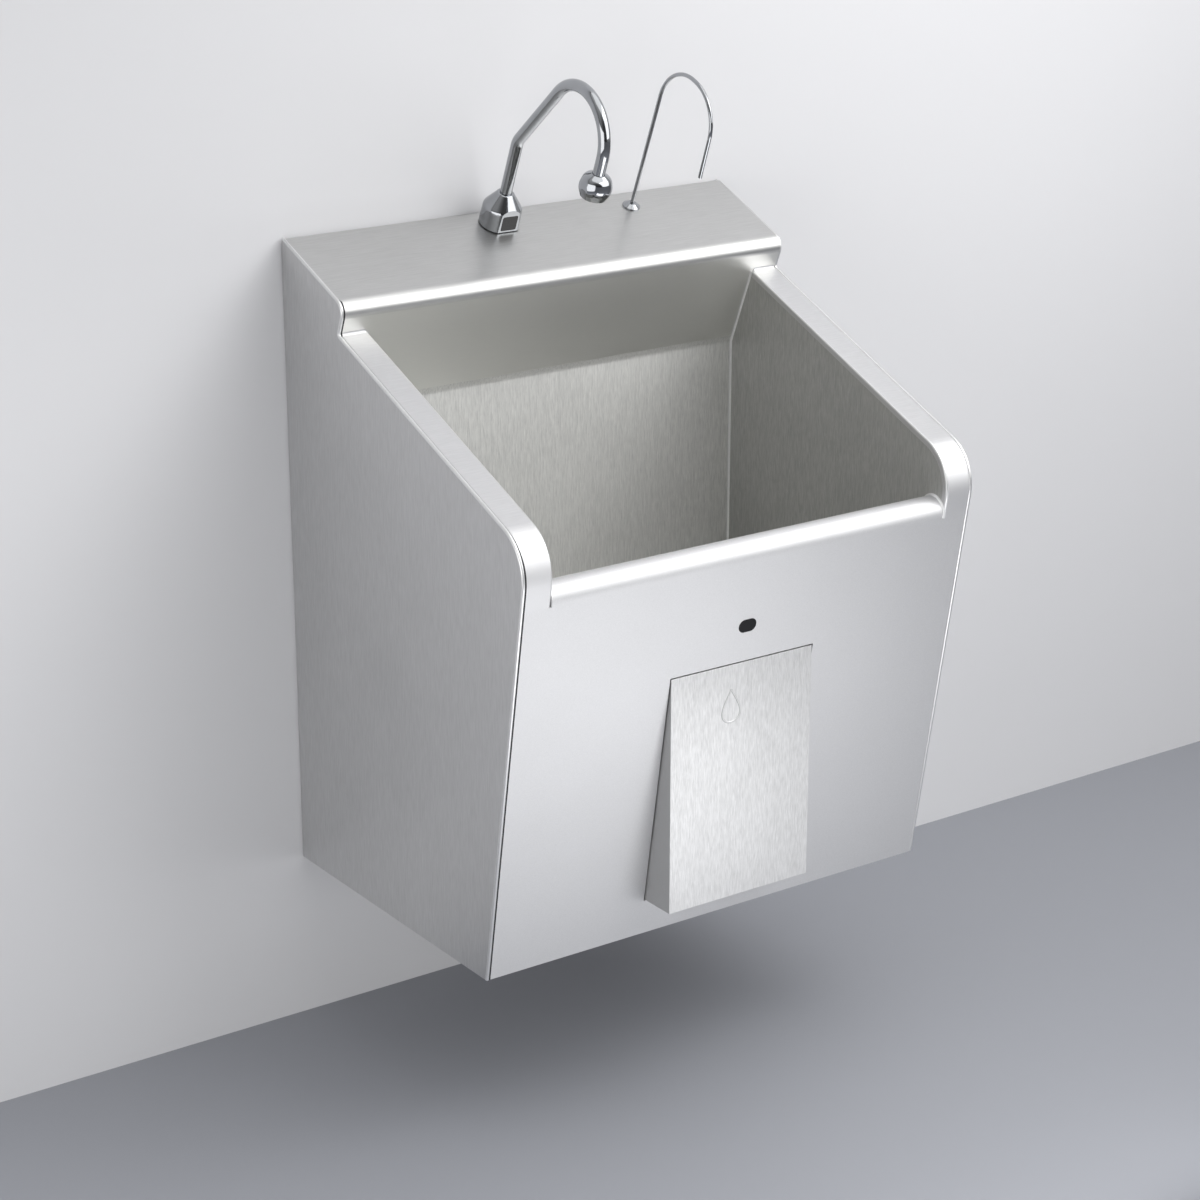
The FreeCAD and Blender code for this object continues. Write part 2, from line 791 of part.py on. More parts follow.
def basin_front():
    """Inner front sheet: rolled over the front rim and down to the floor."""
    body = new_body("basin_front_wall", apron_base, s.apron_lean)
    under_floor = s.floor_height - s.sheet
    inner = s.front_rim_radius - s.sheet
    deep, shallow = s.front_wall_depth, s.front_wall_depth - s.sheet
    sketch = sketch_on(body, "YZ_Plane")
    outline(sketch, [
        (0, apron_top), (0, rim_crest, s.front_rim_radius), (deep, rim_crest, s.front_rim_radius),
        (deep, apron_along(deep, under_floor)), (shallow, apron_along(shallow, under_floor)),
        (shallow, rim_crest - s.sheet, inner), (s.sheet, rim_crest - s.sheet, inner),
        (s.sheet, apron_top),
    ])
    pad(body, sketch, 2 * basin_x, symmetric=True)


def basin_floor():
    """Floor in four planes that fall to a square flat round the drain."""
    body = new_body("basin_floor", (0, 0, level(s.floor_height)))
    under_floor = s.floor_height - s.sheet
    front_y = apron_point(s.front_wall_depth, apron_along(s.front_wall_depth, under_floor))[0]
    half_flat = s.floor_flat / 2

    def edge_sketch(drop):
        sketch = sketch_on(body, "XY_Plane", -drop)
        rectangle(sketch, -basin_x, front_y, basin_x, -s.basin_back_gap)
        return sketch

    def flat_sketch(drop):
        sketch = sketch_on(body, "XY_Plane", -drop)
        rectangle(sketch, -half_flat, -s.drain_setback - half_flat,
                  half_flat, half_flat - s.drain_setback)
        return sketch

    def fall(kind, drop):
        loft = body.newObject(f"PartDesign::{kind}", "floor_fall")
        loft.Profile = edge_sketch(drop)
        loft.Sections = [flat_sketch(drop + s.floor_fall)]
        loft.Ruled = True

    pad(body, edge_sketch(s.sheet), s.sheet)
    fall("AdditiveLoft", s.sheet)
    fall("SubtractiveLoft", size(0))
    hole = sketch_on(body, "XY_Plane")
    circle(hole, 0, -s.drain_setback, s.drain_tube_radius + s.pipe_clearance)
    pocket_through(body, hole)


# Drain and trap

drain_z = level(s.floor_height - s.floor_fall)
hub_bore = s.pipe_radius + s.pipe_clearance
hub_radius = hub_bore + s.hub_wall
tail_top = s.drain_length - s.pipe_overlap
tail_foot = s.floor_height - s.floor_fall - tail_top - s.tail_length


def drain():
    """Flanged drain with its strainer grid, gasket and locknut."""
    spot = (0, -s.drain_setback, drain_z)
    seat = s.sheet / 2
    top = seat + s.strainer_thickness
    grid_fit = s.strainer_radius + s.fit_clearance
    turned("drain_body", [
        (hub_bore, -s.drain_length), (s.drain_tube_radius, -s.drain_length),
        (s.drain_tube_radius, 0), (s.drain_flange_radius, 0),
        (s.drain_flange_radius, top, s.strainer_thickness),
        (grid_fit, top), (grid_fit, seat), (hub_bore, seat),
    ], spot)
    grid = new_body("drain_strainer", (0, -s.drain_setback, drain_z + seat))
    plate = sketch_on(grid, "XY_Plane")
    circle(plate, 0, 0, s.strainer_radius)
    ring_of_holes(plate, s.strainer_pitch, s.strainer_hole_radius, rings=3)
    pad(grid, plate, s.strainer_thickness)
    bore = s.drain_tube_radius + s.fit_clearance
    outer = s.drain_flange_radius - s.gasket_thickness
    under = -s.sheet - s.gasket_thickness
    turned("drain_gasket", [(bore, under), (outer, under), (outer, -s.sheet), (bore, -s.sheet)], spot)
    nut_z = drain_z + under - s.drain_nut_thickness
    hex_nut("drain_locknut", 2 * outer, bore, s.drain_nut_thickness, (0, -s.drain_setback, nut_z))


def ring_of_holes(sketch, pitch, radius, rings):
    """A centre hole with rings of six, twelve, eighteen... holes round it."""
    circle(sketch, 0, 0, radius)
    for ring in range(1, rings + 1):
        for k in range(6 * ring):
            angle = size(60 * k / ring)
            circle(sketch, ring * pitch * cosine(angle), ring * pitch * sine(angle), radius)


def trap():
    """Tailpiece, trap bend and trap arm to the wall, slipped together in hubs."""
    spot = (0, -s.drain_setback, drain_z)
    inner = s.pipe_radius - s.pipe_wall
    turned("tailpiece", [
        (inner, -tail_top - s.tail_length), (s.pipe_radius, -tail_top - s.tail_length),
        (s.pipe_radius, -tail_top), (inner, -tail_top),
    ], spot)
    inlet = tail_foot + s.pipe_overlap
    crown = inlet - s.trap_leg
    back_y = s.trap_width - s.drain_setback
    outlet = crown + s.trap_rise
    bent_tube("trap_bend", [
        (-s.drain_setback, level(inlet)),
        (-s.drain_setback, level(crown), s.trap_bend_radius),
        (back_y, level(crown), s.trap_bend_radius),
        (back_y, level(outlet)),
    ], level(inlet), hub_radius, s.hub_wall)
    bent_tube("trap_arm", [
        (back_y, level(outlet - s.pipe_overlap)),
        (back_y, level(s.arm_height), s.arm_bend_radius),
        (-s.arm_wall_gap, level(s.arm_height)),
    ], level(outlet - s.pipe_overlap), s.pipe_radius, s.pipe_wall)
    rings = []
    drain_foot = s.floor_height - s.floor_fall - s.drain_length
    for y, height, inside in (
        (-s.drain_setback, drain_foot, s.drain_tube_radius),
        (-s.drain_setback, inlet - s.slip_nut_height, hub_radius),
        (back_y, outlet - s.slip_nut_height, hub_radius),
    ):
        ring = hex_nut("slip_nut", 2 * (inside + s.slip_nut_wall), inside + s.fit_clearance,
                       s.slip_nut_height, (0, y, level(height)), sides=8)
        nodes.remove(ring)
        rings.append(ring)
    group = doc.addObject("Part::Compound", "trap_slip_nuts")
    group.Label = "trap_slip_nuts"
    group.Links = rings
    nodes.append(group)


# Faucet

faucet_spot = (s.faucet_offset,) + deck_point(s.faucet_setback, 0)


def on_deck(offset, setback, up):
    return (offset,) + deck_point(setback, up)


def faucet():
    """Domed base with a flat front for the sensor eye, on a gasket, held by a nut below the deck."""
    low = s.faucet_gasket
    bore = s.spout_radius + s.turn_clearance
    shank_foot = -s.shank_length
    body = turned("faucet_body", [
        (s.water_bore, shank_foot), (s.shank_radius, shank_foot), (s.shank_radius, low),
        (s.faucet_radius, low), (s.faucet_radius - 1, s.faucet_skirt, s.faucet_round),
        (s.faucet_neck_radius, s.faucet_height, s.fold_radius), (bore, s.faucet_height),
        (bore, s.spout_socket), (s.water_bore, s.spout_socket),
    ], faucet_spot, s.deck_slope)
    reach = 2 * s.faucet_radius
    front = sketch_on(body, "XY_Plane", low)
    rectangle(front, -reach, -reach, reach, -s.faucet_facet)
    pocket(body, front, s.faucet_height, backwards=True)
    eye = sketch_on(body, "XZ_Plane", s.faucet_facet)
    half, foot = s.eye_width / 2, low + s.eye_rise
    rectangle(eye, -half, foot, half, foot + s.eye_height, s.eye_corner)
    pocket(body, eye, s.eye_depth)
    window = new_body("faucet_sensor_window", faucet_spot, s.deck_slope)
    glass = sketch_on(window, "XZ_Plane", s.faucet_facet - s.eye_depth)
    slack = s.fit_clearance
    rectangle(glass, slack - half, foot + slack, half - slack, foot + s.eye_height - slack,
              s.eye_corner - slack)
    pad(window, glass, s.eye_depth)
    hole = s.shank_radius + s.fit_clearance
    edge = s.faucet_facet - s.fold_radius
    turned("faucet_gasket", [(hole, 0), (edge, 0), (edge, low), (hole, low)], faucet_spot, s.deck_slope)
    hex_nut("faucet_locknut", 3 * s.shank_radius, hole, s.nut_thickness,
            on_deck(s.faucet_offset, s.faucet_setback, -s.sheet - s.nut_thickness), s.deck_slope)


def spout():
    """Gooseneck with a kink above the base, and the bell-shaped spray head on its end."""
    kink_run = s.spout_reach / tangent(s.spout_kink)
    start = s.spout_socket + s.run_gap
    bent_tube("spout_tube", [
        (0, start),
        (0, s.spout_rise, s.spout_kink_radius),
        (-s.spout_reach, s.spout_rise + kink_run, s.spout_arch_radius),
        (-s.spout_reach, s.spout_end),
    ], start, s.spout_radius, s.spout_wall, faucet_spot, s.deck_slope)
    mouth = s.spout_end + s.head_socket - s.head_height
    spot = on_deck(s.faucet_offset, s.faucet_setback + s.spout_reach, mouth)
    bore = s.spout_radius + s.fit_clearance
    rose_fit = s.rose_radius + s.fit_clearance
    seat = s.head_height - s.head_socket
    turned("spray_head", [
        (rose_fit, 0), (s.head_mouth_radius, 0), (s.head_radius, s.head_waist, s.head_waist_round),
        (s.head_shoulder_radius, s.head_shoulder, s.head_round),
        (s.head_neck_radius, s.head_height), (bore, s.head_height), (bore, seat),
        (s.water_bore, seat), (rose_fit, 2 * s.rose_thickness),
    ], spot, s.deck_slope)
    rose = new_body("spray_plate", spot, s.deck_slope)
    plate = sketch_on(rose, "XY_Plane", s.rose_thickness / 2)
    circle(plate, 0, 0, s.rose_radius)
    ring_of_holes(plate, s.rose_pitch, s.rose_hole_radius, rings=3)
    pad(rose, plate, s.rose_thickness)


# Soap spout

soap_spot = on_deck(s.soap_offset, s.soap_setback, 0)


def soap_spout():
    """Small domed flange with a threaded shank, and the thin hooked tube that stands in it."""
    bore = s.soap_tube_radius + s.fit_clearance
    drop = -s.soap_shank_length
    turned("soap_spout_flange", [
        (bore, drop), (s.soap_shank_radius, drop), (s.soap_shank_radius, 0),
        (s.soap_flange_radius, 0), (s.soap_flange_radius, s.soap_flange_height / 3, s.sheet / 2),
        (s.soap_shank_radius, s.soap_flange_height, s.sheet), (bore, s.soap_flange_height),
    ], soap_spot, s.deck_slope)
    bent_tube("soap_spout_tube", [
        (0, drop),
        (0, s.soap_top, s.soap_bend_radius),
        (-s.soap_reach, s.soap_top, s.soap_bend_radius),
        (-s.soap_reach - s.soap_splay, s.soap_end),
    ], drop, s.soap_tube_radius, s.soap_tube_wall, soap_spot, s.deck_slope)
    hex_nut("soap_spout_nut", 3 * s.soap_shank_radius, s.soap_shank_radius + s.fit_clearance,
            s.soap_nut_thickness,
            on_deck(s.soap_offset, s.soap_setback, -s.sheet - s.soap_nut_thickness), s.deck_slope)


# Knee panel and hinge

knee_y = apron_point(0, apron_along(0, s.knee_height))[0]
knee_foot = s.knee_height - s.knee_length
hinge_height = s.knee_height + s.knuckle_radius + s.run_gap
hinge_depth = s.sheet + s.knuckle_radius + s.run_gap
hinge_along = apron_along(hinge_depth, hinge_height)
hinge_y, hinge_z = apron_point(hinge_depth, hinge_along)


def knee_panel():
    """Wedge-shaped box, open at the back, with a bar across its foot that stops it at the apron."""
    body = new_body("knee_panel")
    side = sketch_on(body, "YZ_Plane")
    foot_back = apron_point(s.knee_inset_foot, apron_along(s.knee_inset_foot, knee_foot))[0]
    outline(side, [
        (knee_y, level(knee_foot)), (foot_back, level(knee_foot)),
        (hinge_y + s.knee_inset_top, level(s.knee_height)), (knee_y, level(s.knee_height)),
    ])
    block = pad(body, side, s.knee_width, symmetric=True)
    hollow(body, block, FreeCAD.Vector(0, 1, 0), s.sheet)
    stop = sketch_on(body, "YZ_Plane")
    near = s.sheet + s.run_gap
    low = apron_along(0, knee_foot + s.stop_bar_lift)
    outline(stop, [
        apron_point(near, low), apron_point(near + s.sheet, low),
        apron_point(near + s.sheet, low + s.stop_bar_height),
        apron_point(near, low + s.stop_bar_height),
    ])
    pad(body, stop, s.knee_width + 2 * s.stop_bar_overhang, symmetric=True)


def part_box(name, length, width, height, base, turn=0):
    box = doc.addObject("Part::Box", name)
    bind(box, "Length", length)
    bind(box, "Width", width)
    bind(box, "Height", height)
    place(box, base, turn)
    return box


def part_rod(name, radius, length, base):
    """A cylinder that lies along X from its base."""
    rod = doc.addObject("Part::Cylinder", name)
    bind(rod, "Radius", radius)
    bind(rod, "Height", length)
    place(rod, base, 90, Y_AXIS)
    return rod


def hinge():
    """Butt hinge: a leaf on the apron, a leaf on the knee panel, five knuckles and a pin."""
    start = -s.hinge_length / 2
    share = s.hinge_length / 5
    knuckle = share - s.knuckle_gap
    clear = s.knuckle_radius + s.run_gap

    def leaf(label, first, plate, tab_size, tab_spot, turn):
        pieces = [plate]
        for k in range(first, 5, 2):
            x = start + k * share + s.knuckle_gap / 2
            pieces.append(part_rod("knuckle", s.knuckle_radius, knuckle, (x, hinge_y, hinge_z)))
            pieces.append(part_box("tab", knuckle, *tab_size, (x,) + tab_spot, turn))
        joined = doc.addObject("Part::MultiFuse", f"{label}_joined")
        joined.Shapes = pieces
        bored = doc.addObject("Part::Cut", label)
        bored.Label = label
        bored.Base = joined
        bored.Tool = part_rod("bore", s.hinge_pin_radius + s.turn_clearance, s.hinge_length,
                              (start, hinge_y, hinge_z))
        nodes.append(bored)

    fixed_plate = part_box(
        "fixed_plate", s.hinge_length, s.leaf_thickness, s.hinge_leaf,
        (start,) + apron_point(s.sheet, hinge_along + clear), s.apron_lean)
    leaf("hinge_fixed_leaf", 0, fixed_plate, (s.leaf_thickness, clear + s.leaf_thickness),
         apron_point(s.sheet, hinge_along), s.apron_lean)
    low_z = level(s.knee_height)
    moving_plate = part_box(
        "moving_plate", s.hinge_length, s.knee_inset_top - clear, s.leaf_thickness,
        (start, hinge_y + clear, low_z))
    leaf("hinge_moving_leaf", 1, moving_plate, (clear + s.leaf_thickness, s.leaf_thickness),
         (hinge_y, low_z), 0)
    rod = part_rod("hinge_pin", s.hinge_pin_radius, s.hinge_length, (start, hinge_y, hinge_z))
    rod.Label = "hinge_pin"
    nodes.append(rod)


# Soap pump

pump_along = apron_along(0, s.pump_height)
square_in = s.apron_lean - 90
striker_y = knee_y + s.sheet + s.striker_length
tip_y = striker_y + s.strike_gap
tip_depth = (tip_y + s.base_depth + pump_along * sine(s.apron_lean)) / cosine(s.apron_lean)


def pump():
    """Striker on the knee panel, and the plunger pump behind it on a bracket welded to the apron."""
    strike_z = apron_point(tip_depth, pump_along)[1]
    turned("knee_striker", [
        (0, 0), (s.striker_radius, 0), (s.striker_radius, s.striker_length, s.fold_radius),
        (0, s.striker_length),
    ], (0, knee_y + s.sheet, strike_z), -90)
    head = s.plunger_head_height
    turned("pump_plunger", [
        (0, 0), (s.plunger_head_radius * 0.45, 0, s.plunger_dome_radius),
        (s.plunger_head_radius, head * 0.43, s.plunger_edge_radius),
        (s.plunger_head_radius, head), (s.plunger_radius, head),
        (s.plunger_radius, s.plunger_length), (0, s.plunger_length),
    ], (0,) + apron_point(tip_depth, pump_along), square_in)
    nose = s.pump_start + s.pump_nose
    back = s.pump_start + s.pump_length
    bore = s.plunger_radius + s.turn_clearance
    body = turned("pump_body", [
        (bore, s.pump_start), (s.pump_nose_radius, s.pump_start), (s.pump_nose_radius, nose),
        (s.pump_radius, nose), (s.pump_radius, back, s.fold_radius), (0, back),
        (0, s.pump_start + s.plunger_bore), (bore, s.pump_start + s.plunger_bore),
    ], (0,) + apron_point(0, pump_along), square_in)
    ports = sketch_on(body, "YZ_Plane")
    circle(ports, 0, back - s.pump_port_inset, s.pump_port_radius)
    pad(body, ports, 2 * s.pump_port_reach, symmetric=True)
    bracket = new_body("pump_bracket", (0,) + apron_point(0, pump_along - s.bracket_height / 2),
                       s.apron_lean)
    hat = sketch_on(bracket, "XY_Plane")
    span, near, far = s.bracket_half_span, s.sheet, nose
    outline(hat, [
        (-span - s.bracket_foot, near), (-span, near), (-span, far - s.sheet),
        (span, far - s.sheet), (span, near), (span + s.bracket_foot, near),
        (span + s.bracket_foot, 2 * near), (span + s.sheet, 2 * near), (span + s.sheet, far),
        (-span - s.sheet, far), (-span - s.sheet, 2 * near), (-span - s.bracket_foot, 2 * near),
    ])
    pad(bracket, hat, s.bracket_height)
    opening = sketch_on(bracket, "XZ_Plane")
    circle(opening, 0, s.bracket_height / 2, s.pump_nose_radius + s.fit_clearance)
    pocket_through(bracket, opening)


# Apron sensor

def apron_sensor():
    """Dark window set in the obround hole, with its housing behind the apron."""
    along = apron_top - s.sensor_drop
    window = new_body("apron_sensor_window", apron_base, s.apron_lean)
    glass = sketch_on(window, "XZ_Plane", -s.sheet)
    obround(glass, along, s.sensor_length - 2 * s.fit_clearance, s.sensor_radius - s.fit_clearance)
    pad(window, glass, s.sheet + s.sensor_proud)
    housing = new_body("apron_sensor_housing", apron_base, s.apron_lean)
    case = sketch_on(housing, "XZ_Plane", -s.sheet)
    rectangle(case, -s.sensor_box_length / 2, along - s.sensor_box_height / 2,
              s.sensor_box_length / 2, along + s.sensor_box_height / 2, s.sensor_box_corner)
    pad(housing, case, s.sensor_box_depth, backwards=True)


# Soap reservoir and soap lines

tank_x = s.tank_width / 2 + s.sheet + s.tray_margin - wall_x
tank_y = s.tank_width / 2 + s.tray_margin - s.shelf_front
tank_z = level(s.shelf_height + s.sheet)
port_y, port_z = apron_point(s.pump_start + s.pump_length - s.pump_port_inset, pump_along)


def reservoir():
    """Moulded soap tank with a screw cap, on a shelf folded from sheet and fixed to the side panel."""
    shelf = new_body("reservoir_shelf", (-wall_x, -s.shelf_front, level(s.shelf_height)))
    angle = sketch_on(shelf, "XZ_Plane")
    outline(angle, [
        (0, 0, s.fold_radius), (s.shelf_reach, 0), (s.shelf_reach, s.sheet),
        (s.sheet, s.sheet, s.fold_radius - s.sheet), (s.sheet, s.shelf_upstand), (0, s.shelf_upstand),
    ])
    pad(shelf, angle, s.tank_width + 2 * s.tray_margin, backwards=True)
    tank = new_body("soap_reservoir", (tank_x, tank_y, tank_z))
    plan = sketch_on(tank, "XY_Plane")
    half = s.tank_width / 2
    rectangle(plan, -half, -half, half, half, s.tank_corner)
    block = pad(tank, plan, s.tank_height)
    doc.recompute()
    rim = [
        f"Edge{i}" for i, edge in enumerate(block.Shape.Edges, start=1)
        if edge.BoundBox.ZMin > block.Shape.BoundBox.ZMax - 1e-6
    ]
    shoulder = tank.newObject("PartDesign::Fillet", "shoulder")
    shoulder.Base = (block, rim)
    bind(shoulder, "Radius", s.tank_shoulder)
    neck = sketch_on(tank, "XY_Plane", s.tank_height - s.sheet)
    circle(neck, 0, 0, s.tank_neck_radius)
    pad(tank, neck, s.tank_neck_height)
    cap_foot = s.tank_height + s.tank_neck_height - s.cap_height
    bore = s.tank_neck_radius + s.fit_clearance
    inside = s.cap_height - s.sheet
    turned("reservoir_cap", [
        (bore, 0), (s.cap_radius, 0), (s.cap_radius, s.cap_height, s.sheet),
        (0, s.cap_height), (0, inside), (bore, inside),
    ], (tank_x, tank_y, tank_z + cap_foot))
    cap_top = tank_z + cap_foot + s.cap_height
    lift = cap_top + 2 * s.soap_line_bend
    routed_tube("suction_tube", [
        (tank_x, tank_y, cap_top), (tank_x, tank_y, lift),
        (-4 * s.pump_port_reach, port_y, port_z), (-s.pump_port_reach, port_y, port_z),
    ], s.soap_line_radius, s.soap_line_wall, [s.soap_line_bend, 4 * s.soap_line_bend])


def soap_delivery():
    """Rigid tube from the pump under the basin and up behind it to the soap spout."""
    wall_run = -s.supply_setback
    foot = on_deck(s.soap_offset, s.soap_setback, -s.soap_shank_length)
    lead = on_deck(s.soap_offset, s.soap_setback, -s.soap_shank_length - s.riser_lead)
    routed_tube("delivery_tube", [
        (s.pump_port_reach, port_y, port_z), (s.soap_offset, port_y, port_z),
        (s.soap_offset, wall_run, port_z), (s.soap_offset, wall_run, head_z - s.riser_bend_drop),
        lead, foot,
    ], s.soap_line_radius, s.soap_line_wall, [times * s.soap_line_bend for times in (4, 3, 4, 2)])


# Water supply

supply_y = -s.supply_setback
stop_top = s.stop_height + s.stop_outlet_rise
valve_top = s.valve_height + s.valve_outlet_rise


def supply_stop(name, hand):
    """Angle stop: bore towards the wall, outlet up, stem and oval handle to the front."""
    x = s.faucet_offset + hand * s.stop_spread
    spot = (x, -s.stop_wall_gap, level(s.stop_height))
    end = s.stop_length + s.stem_length
    body = turned(f"{name}_stop_valve", [
        (s.stop_bore, 0), (s.stop_radius, 0), (s.stop_radius, s.stop_length, s.fold_radius),
        (s.stem_radius, s.stop_length), (s.stem_radius, end), (0, end),
        (0, s.stop_bore_depth), (s.stop_bore, s.stop_bore_depth),
    ], spot, 90)
    outlet = sketch_on(body, "XZ_Plane")
    circle(outlet, 0, s.supply_setback - s.stop_wall_gap, s.stop_outlet_radius)
    pad(body, outlet, s.stop_outlet_rise, backwards=True)
    handle = new_body(f"{name}_stop_handle",
                      (x, -s.stop_wall_gap - s.stop_length - s.run_gap, level(s.stop_height)), 90)
    grip = sketch_on(handle, "XY_Plane")
    half, wide = s.handle_length / 2, s.handle_width / 2
    rectangle(grip, -half, -wide, half, wide, wide - s.seam)
    circle(grip, 0, 0, s.stem_radius + s.turn_clearance)
    pad(handle, grip, s.handle_thickness)


def mixing_valve():
    """Mixing valve lying along X: hot and cold unions, outlet up, bonnet and stem to the front."""
    ends, centre = s.valve_end_length, s.valve_length / 2
    x = s.faucet_offset - centre
    body = turned("mixing_valve", [
        (0, 0), (s.valve_end_radius, 0), (s.valve_end_radius, ends), (s.valve_radius, ends),
        (s.valve_radius, s.valve_length - ends), (s.valve_end_radius, s.valve_length - ends),
        (s.valve_end_radius, s.valve_length), (0, s.valve_length),
    ], (x, supply_y, level(s.valve_height)), 90, Y_AXIS)
    outlet = sketch_on(body, "YZ_Plane")
    circle(outlet, 0, centre, s.valve_end_radius)
    pad(body, outlet, s.valve_outlet_rise, backwards=True)
    bonnet = sketch_on(body, "XZ_Plane")
    circle(bonnet, 0, centre, s.valve_bonnet_radius)
    pad(body, bonnet, s.valve_bonnet_reach)
    stem = sketch_on(body, "XZ_Plane", s.valve_bonnet_reach)
    circle(stem, 0, centre, s.stem_radius)
    pad(body, stem, s.stem_length)
    knob = new_body("temperature_knob", (s.faucet_offset, supply_y - s.valve_bonnet_reach - s.run_gap,
                                         level(s.valve_height)), 90)
    round_grip = sketch_on(knob, "XY_Plane")
    circle(round_grip, 0, 0, s.knob_radius)
    pad(knob, round_grip, s.knob_length)
    notch = sketch_on(knob, "XY_Plane")
    circle(notch, s.knob_radius + s.knob_notch_radius / 2, 0, s.knob_notch_radius)
    cut = pocket_through(knob, notch)
    doc.recompute()
    notches = knob.newObject("PartDesign::PolarPattern", "knob_notches")
    notches.Originals = [cut]
    notches.Axis = (notch, ["N_Axis"])
    notches.Angle = 360
    notches.Occurrences = 8
    knob.Tip = notches
    bore = sketch_on(knob, "XY_Plane")
    circle(bore, 0, 0, s.stem_radius + s.turn_clearance)
    pocket(knob, bore, s.stem_length + s.run_gap, backwards=True)


def solenoid():
    """Solenoid valve on the mixing valve's outlet: block, coil to the front, boss for the riser."""
    body = new_body("solenoid_valve", (s.faucet_offset, supply_y, level(valve_top)))
    block = sketch_on(body, "XY_Plane")
    half, deep = s.solenoid_width / 2, s.solenoid_depth / 2
    rectangle(block, -half, -deep, half, deep, s.fold_radius)
    pad(body, block, s.solenoid_height)
    coil = sketch_on(body, "XZ_Plane", deep - s.sheet)
    circle(coil, 0, s.solenoid_height / 2, s.coil_radius)
    pad(body, coil, s.coil_length + s.sheet)
    boss = sketch_on(body, "XY_Plane", s.solenoid_height - s.sheet)
    circle(boss, 0, 0, s.outlet_boss_radius)
    pad(body, boss, s.outlet_boss_height + s.sheet)


def supply_tubes():
    """Bent copper tubes from the stops to the mixing valve and from the solenoid to the faucet."""
    for name, hand in (("hot", -1), ("cold", 1)):
        x = s.faucet_offset + hand * s.stop_spread
        routed_tube(f"{name}_supply_tube", [
            (x, supply_y, level(stop_top)), (x, supply_y, level(s.valve_height)),
            (s.faucet_offset + hand * s.valve_length / 2, supply_y, level(s.valve_height)),
        ], s.copper_radius, s.copper_wall, [s.copper_bend])
    foot = valve_top + s.solenoid_height + s.outlet_boss_height
    routed_tube("faucet_riser", [
        (s.faucet_offset, supply_y, level(foot)),
        (s.faucet_offset, supply_y, head_z - s.riser_bend_drop),
        on_deck(s.faucet_offset, s.faucet_setback, -s.shank_length - s.riser_lead),
        on_deck(s.faucet_offset, s.faucet_setback, -s.shank_length),
    ], s.copper_radius, s.copper_wall, [2 * s.copper_bend, s.copper_bend])


def control_box():
    """Sealed control box on the back of the basin, with cable glands underneath."""
    back_y = s.sheet - s.basin_back_gap
    x = s.box_side_gap + s.box_width / 2 - basin_x
    body = new_body("control_box", (x, back_y, level(s.box_height)))
    case = sketch_on(body, "XZ_Plane")
    rectangle(case, -s.box_width / 2, 0, s.box_width / 2, s.box_rise, s.box_corner)
    pad(body, case, s.box_depth, backwards=True)
    glands = sketch_on(body, "XY_Plane")
    for k in (-1, 0, 1):
        circle(glands, k * s.gland_pitch, s.box_depth / 2, s.gland_radius)
    pad(body, glands, s.gland_length, backwards=True)


def build():
    side_panel("left_side_panel", -1)
    side_panel("right_side_panel", 1)
    deck()
    rim_cap("left_rim_cap", -1)
    rim_cap("right_rim_cap", 1)
    front_apron()
    wall_bar("upper_wall_bar", 1)
    wall_bar("lower_wall_bar", -1)
    bottom_panel()
    basin_side("basin_left_wall", -1)
    basin_side("basin_right_wall", 1)
    basin_back()
    basin_front()
    basin_floor()
    drain()
    trap()
    faucet()
    spout()
    soap_spout()
    knee_panel()
    hinge()
    pump()
    apron_sensor()
    reservoir()
    soap_delivery()
    supply_stop("hot", -1)
    supply_stop("cold", 1)
    mixing_valve()
    solenoid()
    supply_tubes()
    control_box()
    doc.recompute()


def check_and_write():
    """Stop on any failed object or bad shape, then write one file for each sub-part."""
    faults = [o.Name for o in doc.Objects if {"Invalid", "Error"} & set(o.State)]
    faults += [o.Label for o in nodes if o.Shape.isNull() or not o.Shape.isValid()]
    if faults:
        raise RuntimeError(f"failed: {faults}")
    os.makedirs("parts", exist_ok=True)
    for node in nodes:
        node.Shape.exportStep(f"parts/{node.Label}.step")
    print(len(nodes), "sub-parts written")


build()
check_and_write()
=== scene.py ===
# %% [markdown]
# # A wall-hung surgical scrub sink
# The sink is folded stainless sheet: two side panels, a sloping deck, a deep basin, a leaning
# front apron and a knee panel that works a soap pump. A chromed gooseneck faucet and a thin
# soap spout stand on the deck. The solids come from the CAD part with every size already
# right, so this lesson is about surfaces, light and the small pieces that make sheet metal
# look like sheet metal. Everything is in metres, X along the wall, Y into it and Z up.

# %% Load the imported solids
import math

import bmesh
import bpy
from mathutils import Matrix, Vector


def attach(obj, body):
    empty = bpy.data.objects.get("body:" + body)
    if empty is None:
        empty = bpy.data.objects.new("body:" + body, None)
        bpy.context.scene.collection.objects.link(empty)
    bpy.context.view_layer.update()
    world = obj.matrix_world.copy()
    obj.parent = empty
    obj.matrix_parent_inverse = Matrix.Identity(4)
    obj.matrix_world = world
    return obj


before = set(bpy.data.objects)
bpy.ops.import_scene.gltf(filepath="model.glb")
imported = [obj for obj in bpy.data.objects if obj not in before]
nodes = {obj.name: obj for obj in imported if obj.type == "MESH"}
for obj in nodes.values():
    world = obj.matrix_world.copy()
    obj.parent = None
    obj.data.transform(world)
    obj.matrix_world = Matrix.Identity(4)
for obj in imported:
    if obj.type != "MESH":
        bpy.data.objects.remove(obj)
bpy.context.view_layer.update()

# %% [markdown]
# ## Sizes shared with the solids
# A few sizes of the sheet metal are needed again here to set beads, screws and the drop on it:
# half the height of the cabinet, the outer faces of its side panels, the side walls of the basin
# and the slope of the deck. Heights are counted from the foot of the cabinet. Two small functions
# turn a height, and "so far along the deck and so far above it", into places.

# %% Reference planes
MM = 0.001
CABINET_HALF_HEIGHT = 505 * MM
